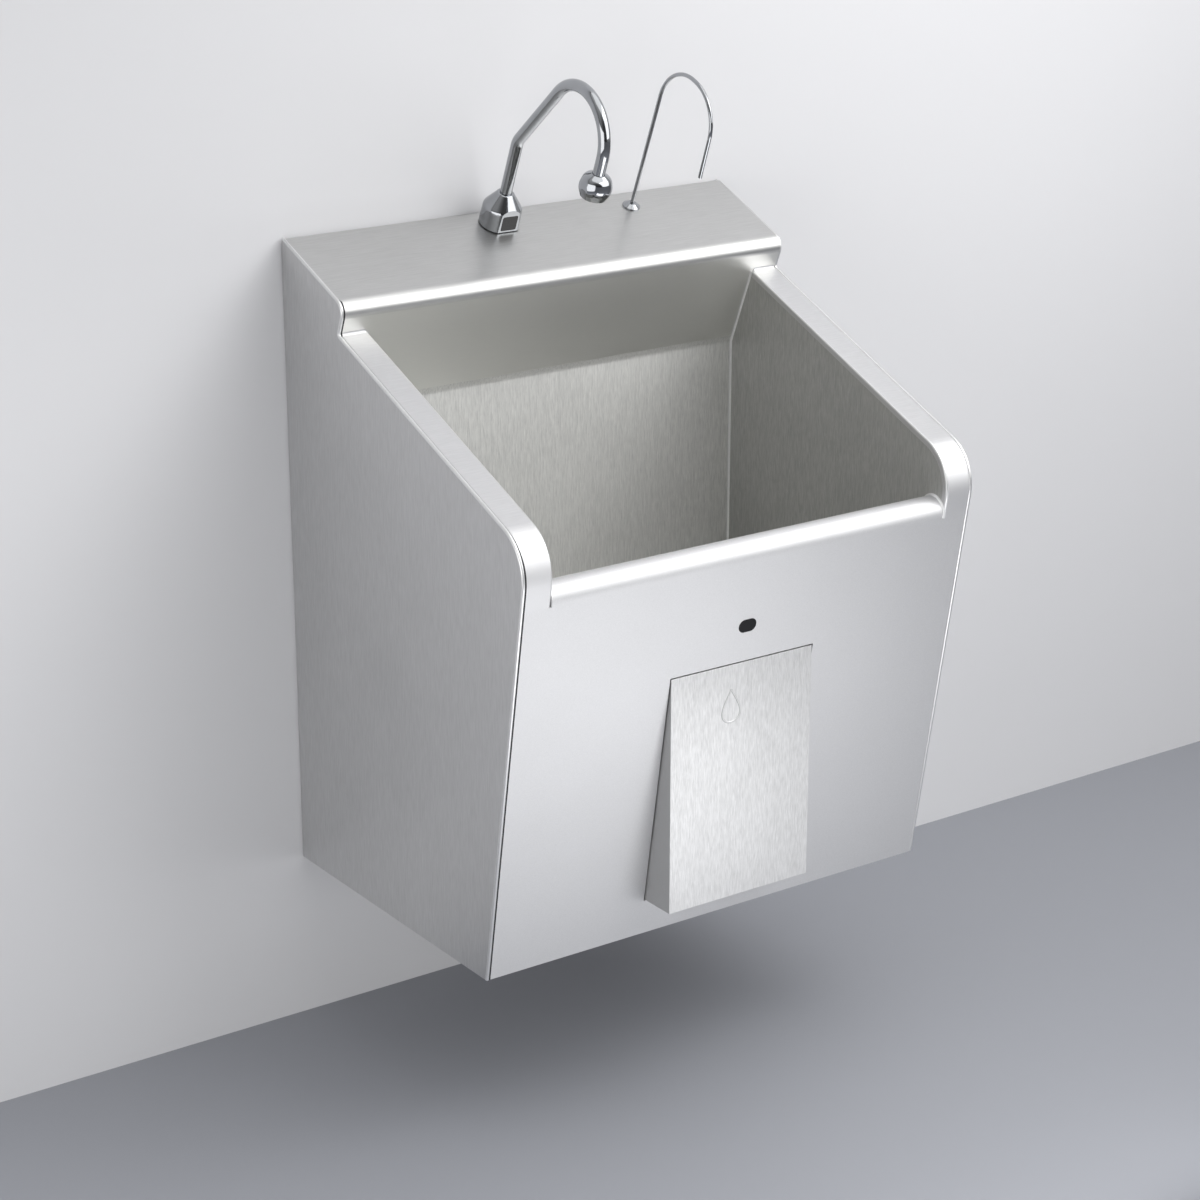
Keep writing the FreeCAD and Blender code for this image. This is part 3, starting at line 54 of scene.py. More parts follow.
# Half widths in millimetres: outer faces of the side panels, side walls of the basin.
PANEL_FACE, BASIN_FACE = 407.5, 357.5
DECK_SLOPE = math.radians(22.5)


def level(height_mm):
    """Z of a height above the foot of the cabinet."""
    return height_mm * MM - CABINET_HALF_HEIGHT


def deck_point(x, forward, up):
    """Point from x, the way along the deck from the wall and the height above the deck."""
    slope_sin, slope_cos = math.sin(DECK_SLOPE), math.cos(DECK_SLOPE)
    y = -(forward * slope_cos + up * slope_sin) * MM
    z = CABINET_HALF_HEIGHT + (up * slope_cos - forward * slope_sin) * MM
    return Vector((x * MM, y, z))


print("deck at the wall", tuple(round(v, 3) for v in deck_point(0, 0, 0)))

# %% [markdown]
# ## Colours and nodes
# Colours are picked as sRGB hex values, the way a colour picker shows them, but shaders count
# in linear light, so one function converts them. A second function adds any node: settings
# are socket names or node properties, links say which output feeds which socket. With only
# these two, each material below reads as a short recipe.

# %% Colour and node helpers
def linear(hex_colour):
    """Linear RGBA of an sRGB hex colour."""
    channels = [int(hex_colour[i:i + 2], 16) / 255 for i in (1, 3, 5)]
    return tuple(c / 12.92 if c <= 0.04045 else ((c + 0.055) / 1.055) ** 2.4 for c in channels) + (1,)


def add_node(tree, kind, settings=None, links=None):
    """Adds a node, sets its properties or sockets, and links other nodes to its sockets.

    A link is a node, for its first output, or a pair of a node and the name of the output.
    """
    node = tree.nodes.new(kind)
    for name, value in (settings or {}).items():
        if hasattr(node, name):
            setattr(node, name, value)
        else:
            next(s for s in node.inputs if s.identifier == name).default_value = value
    for name, source in (links or {}).items():
        first_output = not isinstance(source, tuple)
        giver, output = (source, source.outputs[0].identifier) if first_output else source
        tree.links.new(next(s for s in giver.outputs if s.identifier == output),
                       next(s for s in node.inputs if s.identifier == name))
    return node


def new_material(name):
    """An empty material; returns it with its node tree."""
    material = bpy.data.materials.new(name)
    material.use_nodes = True
    material.node_tree.nodes.clear()
    return material, material.node_tree


def surface(tree, shader):
    """Sends a shader to the output of its material."""
    add_node(tree, "ShaderNodeOutputMaterial", links={"Surface": shader})


print("stainless grey", [round(c, 3) for c in linear("#c4c3c1")])

# %% [markdown]
# ## Camera
# The camera was solved from straight lines in the photograph: it stands in front of the sink,
# to the left and above, and looks down by 19 degrees through a lens of about 87 mm on a 36 mm
# sensor. A long lens keeps the upright edges nearly parallel.

# %% Camera
camera_data = bpy.data.cameras.new("camera")
camera_data.lens = 86.95
camera_data.sensor_width = 36
camera = bpy.data.objects.new("camera", camera_data)
camera.location = (-2.4627, -3.7689, 1.4016)
camera.rotation_euler = (math.radians(70.978), 0, math.radians(-34.967))
bpy.context.scene.collection.objects.link(camera)
bpy.context.scene.camera = camera
print("camera at", tuple(round(v, 2) for v in camera.location))

# %% [markdown]
# ## Stage
# The sink hangs on a wall well above the floor, so both are there as plain pale surfaces that
# catch its shadow and show in the steel: the deck and the side panel mostly reflect the wall.
# Seen from behind or below, both are clear, and the wall has an opening where the cabinet
# covers it, so that the open back of the cabinet can be looked at and lit too.

# %% Floor and wall
FLOOR_Z = -0.779
WALL_Y, WALL_TOP = 0.002, 6
STAGE_REACH = 9
OPENING_HALF_WIDTH, OPENING_HALF_HEIGHT = 0.39, 0.48
CORNERS = ((-1, -1), (1, -1), (1, 1), (-1, 1))


def stage_plane(name, corners, material, faces=((0, 1, 2, 3),)):
    """A flat part of the stage, from its corners."""
    mesh = bpy.data.meshes.new(name)
    mesh.from_pydata(corners, [], faces)
    mesh.materials.append(material)
    plane = bpy.data.objects.new(name, mesh)
    bpy.context.scene.collection.objects.link(plane)
    return plane


def one_sided(tree, paint):
    """Finishes a stage paint whose back is clear."""
    clear = add_node(tree, "ShaderNodeBsdfTransparent")
    side = add_node(tree, "ShaderNodeNewGeometry")
    both = add_node(tree, "ShaderNodeMixShader",
                    links={"Fac": (side, "Backfacing"), "Shader": paint, "Shader_001": clear})
    surface(tree, both)


floor_paint, tree = new_material("pale_floor_paint")
mottle = add_node(tree, "ShaderNodeTexNoise", {"Scale": 3.0, "Detail": 2.0})
tint = add_node(tree, "ShaderNodeMix", {"data_type": "RGBA", "A_Color": linear("#8b8d93"),
                                        "B_Color": linear("#919399")},
                {"Factor_Float": mottle})
paint = add_node(tree, "ShaderNodeBsdfPrincipled", {"Roughness": 0.6},
                 {"Base Color": (tint, "Result_Color")})
one_sided(tree, paint)
floor_corners = [(x * STAGE_REACH, y * STAGE_REACH, FLOOR_Z) for x, y in CORNERS]
floor = stage_plane("floor", floor_corners, floor_paint)

wall_paint, tree = new_material("pale_wall_paint")
paint = add_node(tree, "ShaderNodeBsdfPrincipled", {"Base Color": linear("#d8d8da"), "Roughness": 0.7})
one_sided(tree, paint)
wall_corners = [(x * STAGE_REACH, WALL_Y, WALL_TOP if z > 0 else FLOOR_Z) for x, z in CORNERS]
wall_corners += [(x * OPENING_HALF_WIDTH, WALL_Y, z * OPENING_HALF_HEIGHT) for x, z in CORNERS]
wall_faces = [(k, (k + 1) % 4, 4 + (k + 1) % 4, 4 + k) for k in range(4)]
wall = stage_plane("wall", wall_corners, wall_paint, wall_faces)
print("stage", floor.name, wall.name)

# %% [markdown]
# ## Light
# Steel shows what stands around it, so the light is planned as a room. The surround is grey,
# lighter above and to the right, with a dark zone ahead of the sink that draws the black lines
# in the chrome. A bright ceiling lights the deck and the basin. A low soft box in front whitens
# the apron, which leans and so reflects the floor. Two high ones on the right give the bullnose
# and the rims their white lines, and one on the left lights the edge of the side panel. One more
# stands behind and lights the open back. All are large and of moderate brightness, because a
# small strong lamp would burn out in other views.

# %% Surround
DARK_ZONE_HEART = (-0.31, -0.95, 0.1)
world = bpy.data.worlds.new("studio")
bpy.context.scene.world = world
world.use_nodes = True
tree = world.node_tree
tree.nodes.clear()
direction = add_node(tree, "ShaderNodeTexCoord")
split = add_node(tree, "ShaderNodeSeparateXYZ", links={"Vector": (direction, "Generated")})
height = add_node(tree, "ShaderNodeMapRange", {"From Min": -0.1, "From Max": 0.9}, {"Value": (split, "Z")})
sky = add_node(tree, "ShaderNodeMix", {"data_type": "RGBA", "A_Color": linear("#9b9c9e"),
                                       "B_Color": linear("#f4f4f4")}, {"Factor_Float": height})
across = add_node(tree, "ShaderNodeMapRange",
                  {"From Min": -0.8, "From Max": 0.5, "To Min": 0.6, "To Max": 1.1},
                  {"Value": (split, "X")})
ahead = add_node(tree, "ShaderNodeVectorMath",
                 {"operation": "DOT_PRODUCT", "Vector_001": DARK_ZONE_HEART},
                 {"Vector": (direction, "Generated")})
unlit = add_node(tree, "ShaderNodeMapRange",
                 {"From Min": 0.7, "From Max": 0.95, "To Min": 1.0, "To Max": 0.2},
                 {"Value": (ahead, "Value")})
strength = add_node(tree, "ShaderNodeMath", {"operation": "MULTIPLY"},
                    {"Value": across, "Value_001": unlit})
glow = add_node(tree, "ShaderNodeBackground",
                links={"Color": (sky, "Result_Color"), "Strength": strength})
add_node(tree, "ShaderNodeOutputWorld", links={"Surface": glow})
print("surround", world.name)


# %% Soft boxes
def soft_box(name, location, target, width, depth, brightness):
    """A rectangular lamp at location, facing target; at brightness 1 its face looks paper white."""
    lamp = bpy.data.lights.new(name, "AREA")
    lamp.shape = "RECTANGLE"
    lamp.size, lamp.size_y = width, depth
    lamp.energy = brightness * math.pi * width * depth
    box = bpy.data.objects.new(name, lamp)
    box.location = location
    box.rotation_euler = (Vector(target) - Vector(location)).to_track_quat("-Z", "Y").to_euler()
    bpy.context.scene.collection.objects.link(box)
    return box


SINK = (0, -0.3, 0.0)
soft_box("ceiling_box", (0.5, -1.0, 2.5), SINK, 3.0, 2.2, 0.85)
soft_box("front_box", (0.0, -1.43, -0.52), (-0.1, -0.6, -0.1), 1.2, 0.42, 2.9)
soft_box("high_front_box", (1.1, -1.75, 1.3), SINK, 2.3, 2.0, 2.2)
soft_box("right_box", (2.2, -2.2, 2.4), SINK, 1.4, 1.6, 2.2)
soft_box("left_box", (-2.3, -1.3, 0.3), SINK, 2.6, 1.4, 2.0)
soft_box("back_box", (-0.6, 2.6, 0.4), SINK, 3.2, 2.4, 1.6)

scene = bpy.context.scene
scene.view_settings.view_transform = "Standard"

# %% [markdown]
# ## Stainless sheet
# The cabinet is type 304 stainless, brushed with an abrasive belt. The belt leaves fine parallel
# scratches, so the sheet looks streaky along the grain and its highlights are soft. The scratches
# are about 0.1 mm wide; at this size of picture they would not show, so the streaks are drawn
# about 2 mm wide. A stretched noise gives the streaks, a second broad one the slight clouding of
# handled steel. Both change colour and roughness a little and raise a very small bump. Under the bullnose,
# on the front of the rims and on the sides of the knee panel, found by the way their normal looks, the sheet
# is a little rougher and its colour is painted light and shade: paler under the bullnose and on the rims,
# darker on the sides of the knee panel.

# %% Brushed stainless
def brushed_stainless(name, streak_mm, dark, light, roughness, spread=0.06, bump=0.05, painted_facings=(),
                      matt=None):
    """Brushed sheet; streak_mm is the size of a streak along X, Y and Z.

    Faces that look in one of the given directions get another colour, painted light and shade for how the
    lamps fall on them, and are rougher. The clouding of handled steel is about 220 mm across.
    """
    material, tree = new_material(name)
    place = add_node(tree, "ShaderNodeTexCoord")
    stretch = add_node(tree, "ShaderNodeMapping", {"Scale": [1 / (size * MM) for size in streak_mm]},
                       {"Vector": (place, "Object")})
    streaks = add_node(tree, "ShaderNodeTexNoise", {"Scale": 1.0, "Detail": 4.0, "Roughness": 0.65},
                       {"Vector": stretch})
    clouds = add_node(tree, "ShaderNodeTexNoise", {"Scale": 4.5, "Detail": 3.0},
                      {"Vector": (place, "Object")})
    blend = add_node(tree, "ShaderNodeMath", {"operation": "MULTIPLY_ADD", "Value_001": 0.35},
                     {"Value": clouds, "Value_002": streaks})
    tone = add_node(tree, "ShaderNodeMapRange", {"From Min": 0.35, "From Max": 1.0},
                    {"Value": blend})
    colour = add_node(tree, "ShaderNodeMix", {"data_type": "RGBA", "A_Color": linear(dark),
                                              "B_Color": linear(light)},
                      {"Factor_Float": tone})
    polish = add_node(tree, "ShaderNodeMapRange",
                      {"To Min": roughness + spread, "To Max": roughness - spread},
                      {"Value": blend})
    # Painted light and shade: faces that look along one of these directions take the painted tone.
    for direction in painted_facings:
        geometry = add_node(tree, "ShaderNodeNewGeometry")
        facing = add_node(tree, "ShaderNodeVectorMath",
                          {"operation": "DOT_PRODUCT", "Vector_001": direction},
                          {"Vector": (geometry, "Normal")})
        share = add_node(tree, "ShaderNodeMapRange", {"From Min": 0.1, "From Max": 0.4},
                         {"Value": (facing, "Value")})
        colour = add_node(tree, "ShaderNodeMix", {"data_type": "RGBA", "B_Color": linear(matt)},
                          {"Factor_Float": share, "A_Color": (colour, "Result_Color")})
        polish = add_node(tree, "ShaderNodeMath", {"operation": "MULTIPLY_ADD", "Value_001": 0.12},
                          {"Value": share, "Value_002": polish})
    relief = add_node(tree, "ShaderNodeBump", {"Strength": bump, "Distance": 0.0004},
                      {"Height": streaks})
    steel = add_node(tree, "ShaderNodeBsdfPrincipled", {"Metallic": 1.0},
                     {"Base Color": (colour, "Result_Color"), "Roughness": polish,
                      "Normal": relief})
    surface(tree, steel)
    return material


steel_upright = brushed_stainless("stainless_brushed_upright", (2.0, 2.0, 26), "#c4c4c4", "#d8d8d8", 0.40)
# Painted light: the faces under the bullnose, which look down, are painted paler.
steel_along = brushed_stainless("stainless_brushed_along", (40, 2.0, 2.0), "#bcbcbb", "#cccccb", 0.38,
                                painted_facings=[(0, 0, -1)], matt="#f0f0ec")
# Painted light: the faces of the rims that look down and forward are painted paler.
steel_rim = brushed_stainless("stainless_brushed_rim", (30, 1.8, 1.8), "#c8c8c9", "#d6d6d7", 0.46, 0.04,
                              painted_facings=[(0, -0.8, -0.6)], matt="#d5d5d6")
# Painted light: the back wall of the basin is a paler copy of the basin steel.
steel_basin = brushed_stainless("stainless_brushed_basin", (1.8, 1.8, 18), "#d0d0ce", "#fdfdfa", 0.66,
                                0.08, 0.22)
# Painted shade: the side walls of the basin are a darker copy of the basin steel.
steel_basin_side = brushed_stainless("stainless_brushed_basin_side", (1.8, 1.8, 18), "#a2a2a0", "#cdcdcb",
                                     0.56, 0.06, 0.16)
steel_basin_floor = brushed_stainless("stainless_brushed_basin_floor", (18, 1.8, 1.8), "#c8c8c5", "#dededb",
                                      0.56, 0.06, 0.08)
# Painted shade: the sides of the knee panel are painted darker.
steel_knee = brushed_stainless("stainless_brushed_knee", (1.8, 1.8, 16), "#b8b8b8", "#dedede", 0.56,
                               0.08, 0.14, painted_facings=[(-1, 0, 0), (1, 0, 0)], matt="#bcbcbc")
steel_satin = brushed_stainless("stainless_satin_apron", (1.8, 1.8, 1.8), "#d0d0d1", "#dadadb", 0.60,
                                0.03, 0.04)
steel_inside = brushed_stainless("stainless_mill_inside", (8, 8, 8), "#a8a8a7", "#b8b7b6", 0.45)
print("stainless finishes", [m.name for m in bpy.data.materials if m.name.startswith("stainless")])

# %% [markdown]
# ## Chrome plate
# Faucet, spray head and soap spout are brass, polished and chrome plated: almost a mirror, with a
# faint blue cast. A slight noise in roughness stands for wiping marks about 17 mm wide, without
# which chrome looks like a drawing of chrome.

# %% Chrome
chrome, tree = new_material("chrome_plated_brass")
place = add_node(tree, "ShaderNodeTexCoord")
wipes = add_node(tree, "ShaderNodeTexNoise", {"Scale": 60.0, "Detail": 3.0}, {"Vector": (place, "Object")})
polish = add_node(tree, "ShaderNodeMapRange", {"To Min": 0.03, "To Max": 0.09}, {"Value": wipes})
tint = add_node(tree, "ShaderNodeMix", {"data_type": "RGBA", "A_Color": linear("#a0a2a5"),
                                        "B_Color": linear("#aaacaf")},
                {"Factor_Float": wipes})
plate = add_node(tree, "ShaderNodeBsdfPrincipled", {"Metallic": 1.0},
                 {"Base Color": (tint, "Result_Color"), "Roughness": polish})
surface(tree, plate)
print(chrome.name)

# %% [markdown]
# ## Plastics, rubber, brass and copper
# The sensor windows are dark acrylic with a hard gloss. Gaskets and the striker are black rubber,
# dull and slightly dusty. Inside the cabinet there are moulded parts with a fine spark-eroded
# grain, cast and machined brass valves, and drawn copper tube that has begun to brown. They
# differ only in colours, gloss and grain size, so one recipe takes those as its values.

# %% Grained finishes
def grained(name, dark, light, roughness, grain_mm, metallic=0.0, bump=0.1, spread=0.08):
    """A finish whose colour and gloss vary with a noise of the given grain size."""
    material, tree = new_material(name)
    place = add_node(tree, "ShaderNodeTexCoord")
    grain = add_node(tree, "ShaderNodeTexNoise", {"Scale": 1 / (grain_mm * MM), "Detail": 3.0},
                     {"Vector": (place, "Object")})
    colour = add_node(tree, "ShaderNodeMix", {"data_type": "RGBA", "A_Color": linear(dark),
                                              "B_Color": linear(light)},
                      {"Factor_Float": grain})
    gloss = add_node(tree, "ShaderNodeMapRange",
                     {"To Min": roughness - spread, "To Max": roughness + spread},
                     {"Value": grain})
    relief = add_node(tree, "ShaderNodeBump", {"Strength": bump, "Distance": 0.0002},
                      {"Height": grain})
    body = add_node(tree, "ShaderNodeBsdfPrincipled", {"Metallic": metallic},
                    {"Base Color": (colour, "Result_Color"), "Roughness": gloss,
                     "Normal": relief})
    surface(tree, body)
    return material


acrylic = grained("acrylic_dark_window", "#060607", "#0d0d0f", 0.10, 6, bump=0.01, spread=0.03)
rubber = grained("rubber_black", "#17171a", "#232325", 0.75, 1.5)
brass = grained("brass_machined", "#a98a4e", "#c2a463", 0.30, 4, metallic=1.0)
copper = grained("copper_drawn_tube", "#8f5a3f", "#b97a58", 0.30, 12, metallic=1.0)
abs_grey = grained("abs_moulded_grey", "#4a4c50", "#56585c", 0.50, 1.2)
polyethylene = grained("polyethylene_tank", "#dfddd2", "#eae8de", 0.45, 5)
abs_red = grained("abs_moulded_red", "#8a1a17", "#9c211d", 0.42, 1.2)
abs_blue = grained("abs_moulded_blue", "#173a80", "#1f4794", 0.42, 1.2)
silicone = grained("silicone_grey", "#6d6f72", "#7b7d80", 0.60, 1.0)
print("finishes", len(bpy.data.materials))

# %% [markdown]
# ## Which sheet has which finish
# Each node of the CAD part keeps its mesh and only gets its finish. The grain follows the way the
# sheet was cut: upright on the side panels, the knee panel and the back and sides of the basin,
# across on the deck, the rims and the basin floor. The apron and the front wall of the basin,
# which ends in the rolled rim, have a fine satin without direction.

# %% Finishes on the solids
FINISHES = {
    steel_upright: ["left_side_panel", "right_side_panel"],
    steel_along: ["deck"],
    steel_rim: ["left_rim_cap", "right_rim_cap"],
    steel_satin: ["front_apron", "basin_front_wall"],
    steel_basin: ["basin_back_wall"],
    steel_basin_side: ["basin_left_wall", "basin_right_wall"],
    steel_basin_floor: ["basin_floor"],
    steel_knee: ["knee_panel"],
    steel_inside: ["upper_wall_bar", "lower_wall_bar", "bottom_panel", "hinge_fixed_leaf",
                   "hinge_moving_leaf", "hinge_pin", "pump_bracket", "reservoir_shelf", "drain_strainer",
                   "pump_plunger", "suction_tube", "delivery_tube"],
    chrome: ["faucet_body", "spout_tube", "spray_head", "soap_spout_flange", "soap_spout_tube",
             "drain_body", "tailpiece", "trap_bend", "trap_arm", "trap_slip_nuts"],
    acrylic: ["faucet_sensor_window", "apron_sensor_window"],
    rubber: ["drain_gasket", "faucet_gasket", "knee_striker"],
    brass: ["drain_locknut", "faucet_locknut", "soap_spout_nut", "hot_stop_valve", "cold_stop_valve",
            "mixing_valve"],
    copper: ["hot_supply_tube", "cold_supply_tube", "faucet_riser"],
    abs_grey: ["pump_body", "apron_sensor_housing", "solenoid_valve", "control_box", "temperature_knob",
               "reservoir_cap"],
    silicone: ["spray_plate"],
    polyethylene: ["soap_reservoir"],
    abs_red: ["hot_stop_handle"],
    abs_blue: ["cold_stop_handle"],
}
for material, names in FINISHES.items():
    for name in names:
        for slot in nodes[name].material_slots:
            slot.material = material
finished = sum(len(names) for names in FINISHES.values())
print("finished nodes", finished, "of", len(nodes))

# %% [markdown]
# ## Sweeping a section along a path
# Weld coves, rounded sheet edges and the embossed sign are all one idea: a small section carried
# along a path. Curve objects with a bevel could do it, but then the section could not turn with
# the sheet. So each section is worked out as a loop of points, the loops are joined with quads,
# and an open sweep gets a face at each end. The turned screws use the first two helpers again.

# %% Mesh helpers
def join_loops(bm, first, second):
    """Joins two loops with as many points by a ring of quads."""
    count = len(first)
    for k in range(count):
        bm.faces.new((first[k], first[(k + 1) % count], second[(k + 1) % count], second[k]))


def make_piece(name, bm, material, body, sharp_angle):
    """Turns a finished skin into a piece that rides on a body; edges over sharp_angle degrees stay sharp."""
    bmesh.ops.recalc_face_normals(bm, faces=bm.faces)
    mesh = bpy.data.meshes.new(name)
    bm.to_mesh(mesh)
    bm.free()
    mesh.materials.append(material)
    for face in mesh.polygons:
        face.use_smooth = True
    mesh.set_sharp_from_angle(angle=math.radians(sharp_angle))
    piece = bpy.data.objects.new(name, mesh)
    bpy.context.scene.collection.objects.link(piece)
    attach(piece, body)
    return piece


def sweep(name, loops, material, body, closed=False):
    """A skin over loops of points, all with as many points; closed joins the last to the first."""
    bm = bmesh.new()
    rows = [[bm.verts.new(point) for point in loop] for loop in loops]
    for first, second in zip(rows, rows[1:] + (rows[:1] if closed else [])):
        join_loops(bm, first, second)
    if not closed:
        bm.faces.new(rows[0])
        bm.faces.new(rows[-1])
    return make_piece(name, bm, material, body, 40)


print("mesh helpers ready")

# %% [markdown]
# ## Lines with rounded bends
# The sheet was bent over round tools, so its outline is straight lines and arcs. One function
# rounds the corners of such a line, and a second gives the direction square to it, in which a
# bead or a cove stands out. The arcs are cut every 2 degrees, because coarser chords would dip
# under the sheet.

# %% Path helpers
def rounded_path(corners, step=math.radians(2)):
    """Points of a line in the YZ plane, and the first and last index of each bend.

    Each corner is (y, z, radius) in millimetres.
    """
    points = [Vector(corner[:2]) for corner in corners]
    path, bends = [points[0]], []
    for before, here, after, (_, _, radius) in zip(points, points[1:], points[2:], corners[1:]):
        arrive, leave = (here - before).normalized(), (after - here).normalized()
        turn = math.atan2(arrive.cross(leave), arrive.dot(leave))
        start = here - arrive * radius * math.tan(abs(turn) / 2)
        centre = start + Vector((-arrive.y, arrive.x)) * math.copysign(radius, turn)
        pieces = max(1, round(abs(turn) / step))
        bends.append((len(path), len(path) + pieces))
        for k in range(pieces + 1):
            path.append(centre + Matrix.Rotation(turn * k / pieces, 2) @ (start - centre))
    return path + [points[-1]], bends


def normals(path):
    """The direction square to the path at each point, to its left."""
    ends = zip([path[0]] + path[:-1], path[1:] + [path[-1]])
    return [Vector((before.y - after.y, after.x - before.x)).normalized() for before, after in ends]


def bead_loops(path, path_normals, x, inset, radius, sides=12):
    """Loops of a round bead whose heart lies at x and inset behind the path, in millimetres."""
    loops = []
    for point, normal in zip(path, path_normals):
        ring = []
        for k in range(sides):
            angle = k * math.tau / sides
            spot = point + normal * (inset + radius * math.sin(angle))
            ring.append((MM * (x + radius * math.cos(angle)), MM * spot.x, MM * spot.y))
        loops.append(ring)
    return loops


print("path helpers ready")

# %% [markdown]
# ## Rounded edges of the side panels
# A cut sheet edge would be sharp, so the edge of each side panel is welded over and ground to a round bead a
# few millimetres wide, which draws the pale line round the side: the round catches the lamps, and its colour
# is painted paler than the sheet, a painted highlight. A bevel on the panel would be the usual way, but the
# solids stay as they are, so the bead is a piece of its own along the panel's outline: deck, bullnose, cove,
# rim, front corner, apron. The left one is the stronger, as in the photograph.

# %% Side panel edges
# Painted highlight: the ground edge is painted paler than steel, so that it draws a white line.
steel_edge_and_highlight = brushed_stainless("stainless_ground_edge_painted_highlight", (12, 12, 12), "#e0e0e0", "#ececec", 0.40, 0.03, 0.02)
OUTLINE = [(-3, 503, 0), (-180, 430.44, 21), (-161.33, 385.36, 4.5), (-655.7, 180.6, 76), (-541, -505, 0)]
EDGE_INSET = 2.0
LEFT_BEAD_RADIUS, RIGHT_BEAD_RADIUS = 2.8, 2.3
edge_path, (bullnose, cove, corner) = rounded_path(OUTLINE)
edge_normals = normals(edge_path)
for side, hand, radius in (("left", -1, LEFT_BEAD_RADIUS), ("right", 1, RIGHT_BEAD_RADIUS)):
    loops = bead_loops(edge_path, edge_normals, hand * (PANEL_FACE - EDGE_INSET), EDGE_INSET, radius)
    sweep(f"{side}_panel_edge", loops, steel_edge_and_highlight, "cabinet")
print("edge points", len(edge_path))

# %% [markdown]
# ## Folds along the rims
# Where a rim turns down into the basin the sheet is folded, and the fold catches a fine white line, helped
# by the bead's pale colour, a painted highlight. It is the same bead again, smaller, from the cove down the
# slope and round the front corner to the rolled front rim.

# %% Rim folds
FOLD_RADIUS, FOLD_INSET = 2.0, 2.37
FOLD_END = Vector((-640.7, 93.3))
fold_path = edge_path[cove[1]:corner[1] + 1] + [FOLD_END]
fold_normals = edge_normals[cove[1]:corner[1] + 1] + [edge_normals[corner[1]]]
for side, hand in (("left", -1), ("right", 1)):
    loops = bead_loops(fold_path, fold_normals, hand * (BASIN_FACE + FOLD_INSET), FOLD_INSET, FOLD_RADIUS)
    sweep(f"{side}_rim_fold", loops, steel_edge_and_highlight, "cabinet")
print("fold points", len(fold_path))

# %% [markdown]
# ## Painted shade along the left joint
# Beside the left bead a thin dark strip, painted shade, stands for the shade in the joint between the panel
# and the sheets that meet it. It shows round the bullnose and down the apron, but not on the slope between.
# So there are two flat strips that start narrow and grow to their full width, and the one at the bullnose
# narrows again.

# %% Joint on the left
# Painted shade: the dark strip stands for the shade in the joint.
joint_shade_paint = grained("joint_painted_shade", "#19191b", "#262628", 0.55, 1.5)
JOINT_START, JOINT_WIDTH = -403.8, 2.7
JOINT_TIP = 0.4
# Each point of the section is a share of the width and a height above the sheet.
JOINT_SECTION = [(0, -0.4), (1, -0.4), (1, 0.1), (0.7, 0.25), (0.3, 0.25), (0, 0.1)]
# A strip grows over so many points of the path (rise) and narrows over the last ones (fall).
for name, first, last, rise, fall in (("deck_joint", bullnose[0], cove[1], 9, 9),
                                      ("apron_joint", corner[0], corner[1] + 1, 24, 0)):
    loops = []
    for k in range(first, last + 1):
        fade = (last - k + JOINT_TIP) / fall if fall else 1
        width = JOINT_WIDTH * min(1, (k - first + JOINT_TIP) / rise, fade)
        ring = []
        for share, lift in JOINT_SECTION:
            spot = edge_path[k] - edge_normals[k] * lift
            ring.append((MM * (JOINT_START + width * share), MM * spot.x, MM * spot.y))
        loops.append(ring)
    sweep(f"left_{name}", loops, joint_shade_paint, "cabinet")
print("joint", JOINT_WIDTH, "mm wide")

# %% [markdown]
# ## Weld coves in the basin
# A scrub sink has no open corners where dirt could stay: each inside corner is welded and ground to a small
# cove. The ground weld is paler than the sheet, and its colour is painted paler still, a painted highlight
# that draws the bright line in each corner. The cove is a triangle with a hollow long side, swept down the
# corner where the fascia and the back wall meet the side walls, and over both ends of the rolled front rim.

# %% Basin coves
COVE_RADIUS = 3.2
COVE_ROOT = 0.3
# Painted highlight: the weld's colour is paler than ground steel, so that the corners show a bright line.
steel_weld_and_highlight = brushed_stainless("stainless_ground_weld_painted_highlight", (9, 9, 9), "#eaeaea", "#f4f4f4", 0.50, 0.04, 0.03)


def cove_loops(path, outward, x, inward, radius=COVE_RADIUS, steps=6):
    """Loops of a cove between the plane at x, which looks inward, and the face along the path."""
    loops = []
    for point, normal in zip(path, outward):
        root = point - normal * COVE_ROOT
        loop = [(MM * (x - inward * COVE_ROOT), MM * root.x, MM * root.y)]
        for k in range(steps + 1):
            angle = math.pi / 2 * k / steps
            spot = point + normal * radius * (1 - math.sin(angle))
            loop.append((MM * (x + inward * radius * (1 - math.cos(angle))), MM * spot.x, MM * spot.y))
        loops.append(loop)
    return loops


FASCIA_TOP, FASCIA_FOOT, BASIN_FOOT = Vector((-160.6, 384.0)), Vector((-109, 259.03)), Vector((-109, -205))
corner_path = [FASCIA_TOP, FASCIA_FOOT, BASIN_FOOT]
corner_normals = [Vector((-0.924, -0.383)), Vector((-0.99, -0.195)), Vector((-1, 0))]
ROLL_CENTRE, ROLL_RADIUS = Vector((-617, 97.3)), 24
# The cove runs over the rolled rim from the basin side to the apron, in degrees.
ROLL_START, ROLL_STEP, ROLL_STEPS = -10, 6, 34
roll_angles = [math.radians(ROLL_START + ROLL_STEP * k) for k in range(ROLL_STEPS + 1)]
roll_normals = [Vector((math.cos(a), math.sin(a))) for a in roll_angles]
roll_path = [ROLL_CENTRE + normal * ROLL_RADIUS for normal in roll_normals]
for side, inward in (("left", 1), ("right", -1)):
    for name, path, outward in (("basin_corner", corner_path, corner_normals),
                                ("rim_end", roll_path, roll_normals)):
        loops = cove_loops(path, outward, -inward * BASIN_FACE, inward)
        sweep(f"{side}_{name}_weld", loops, steel_weld_and_highlight, "cabinet")
print("coves with radius", COVE_RADIUS, "mm")

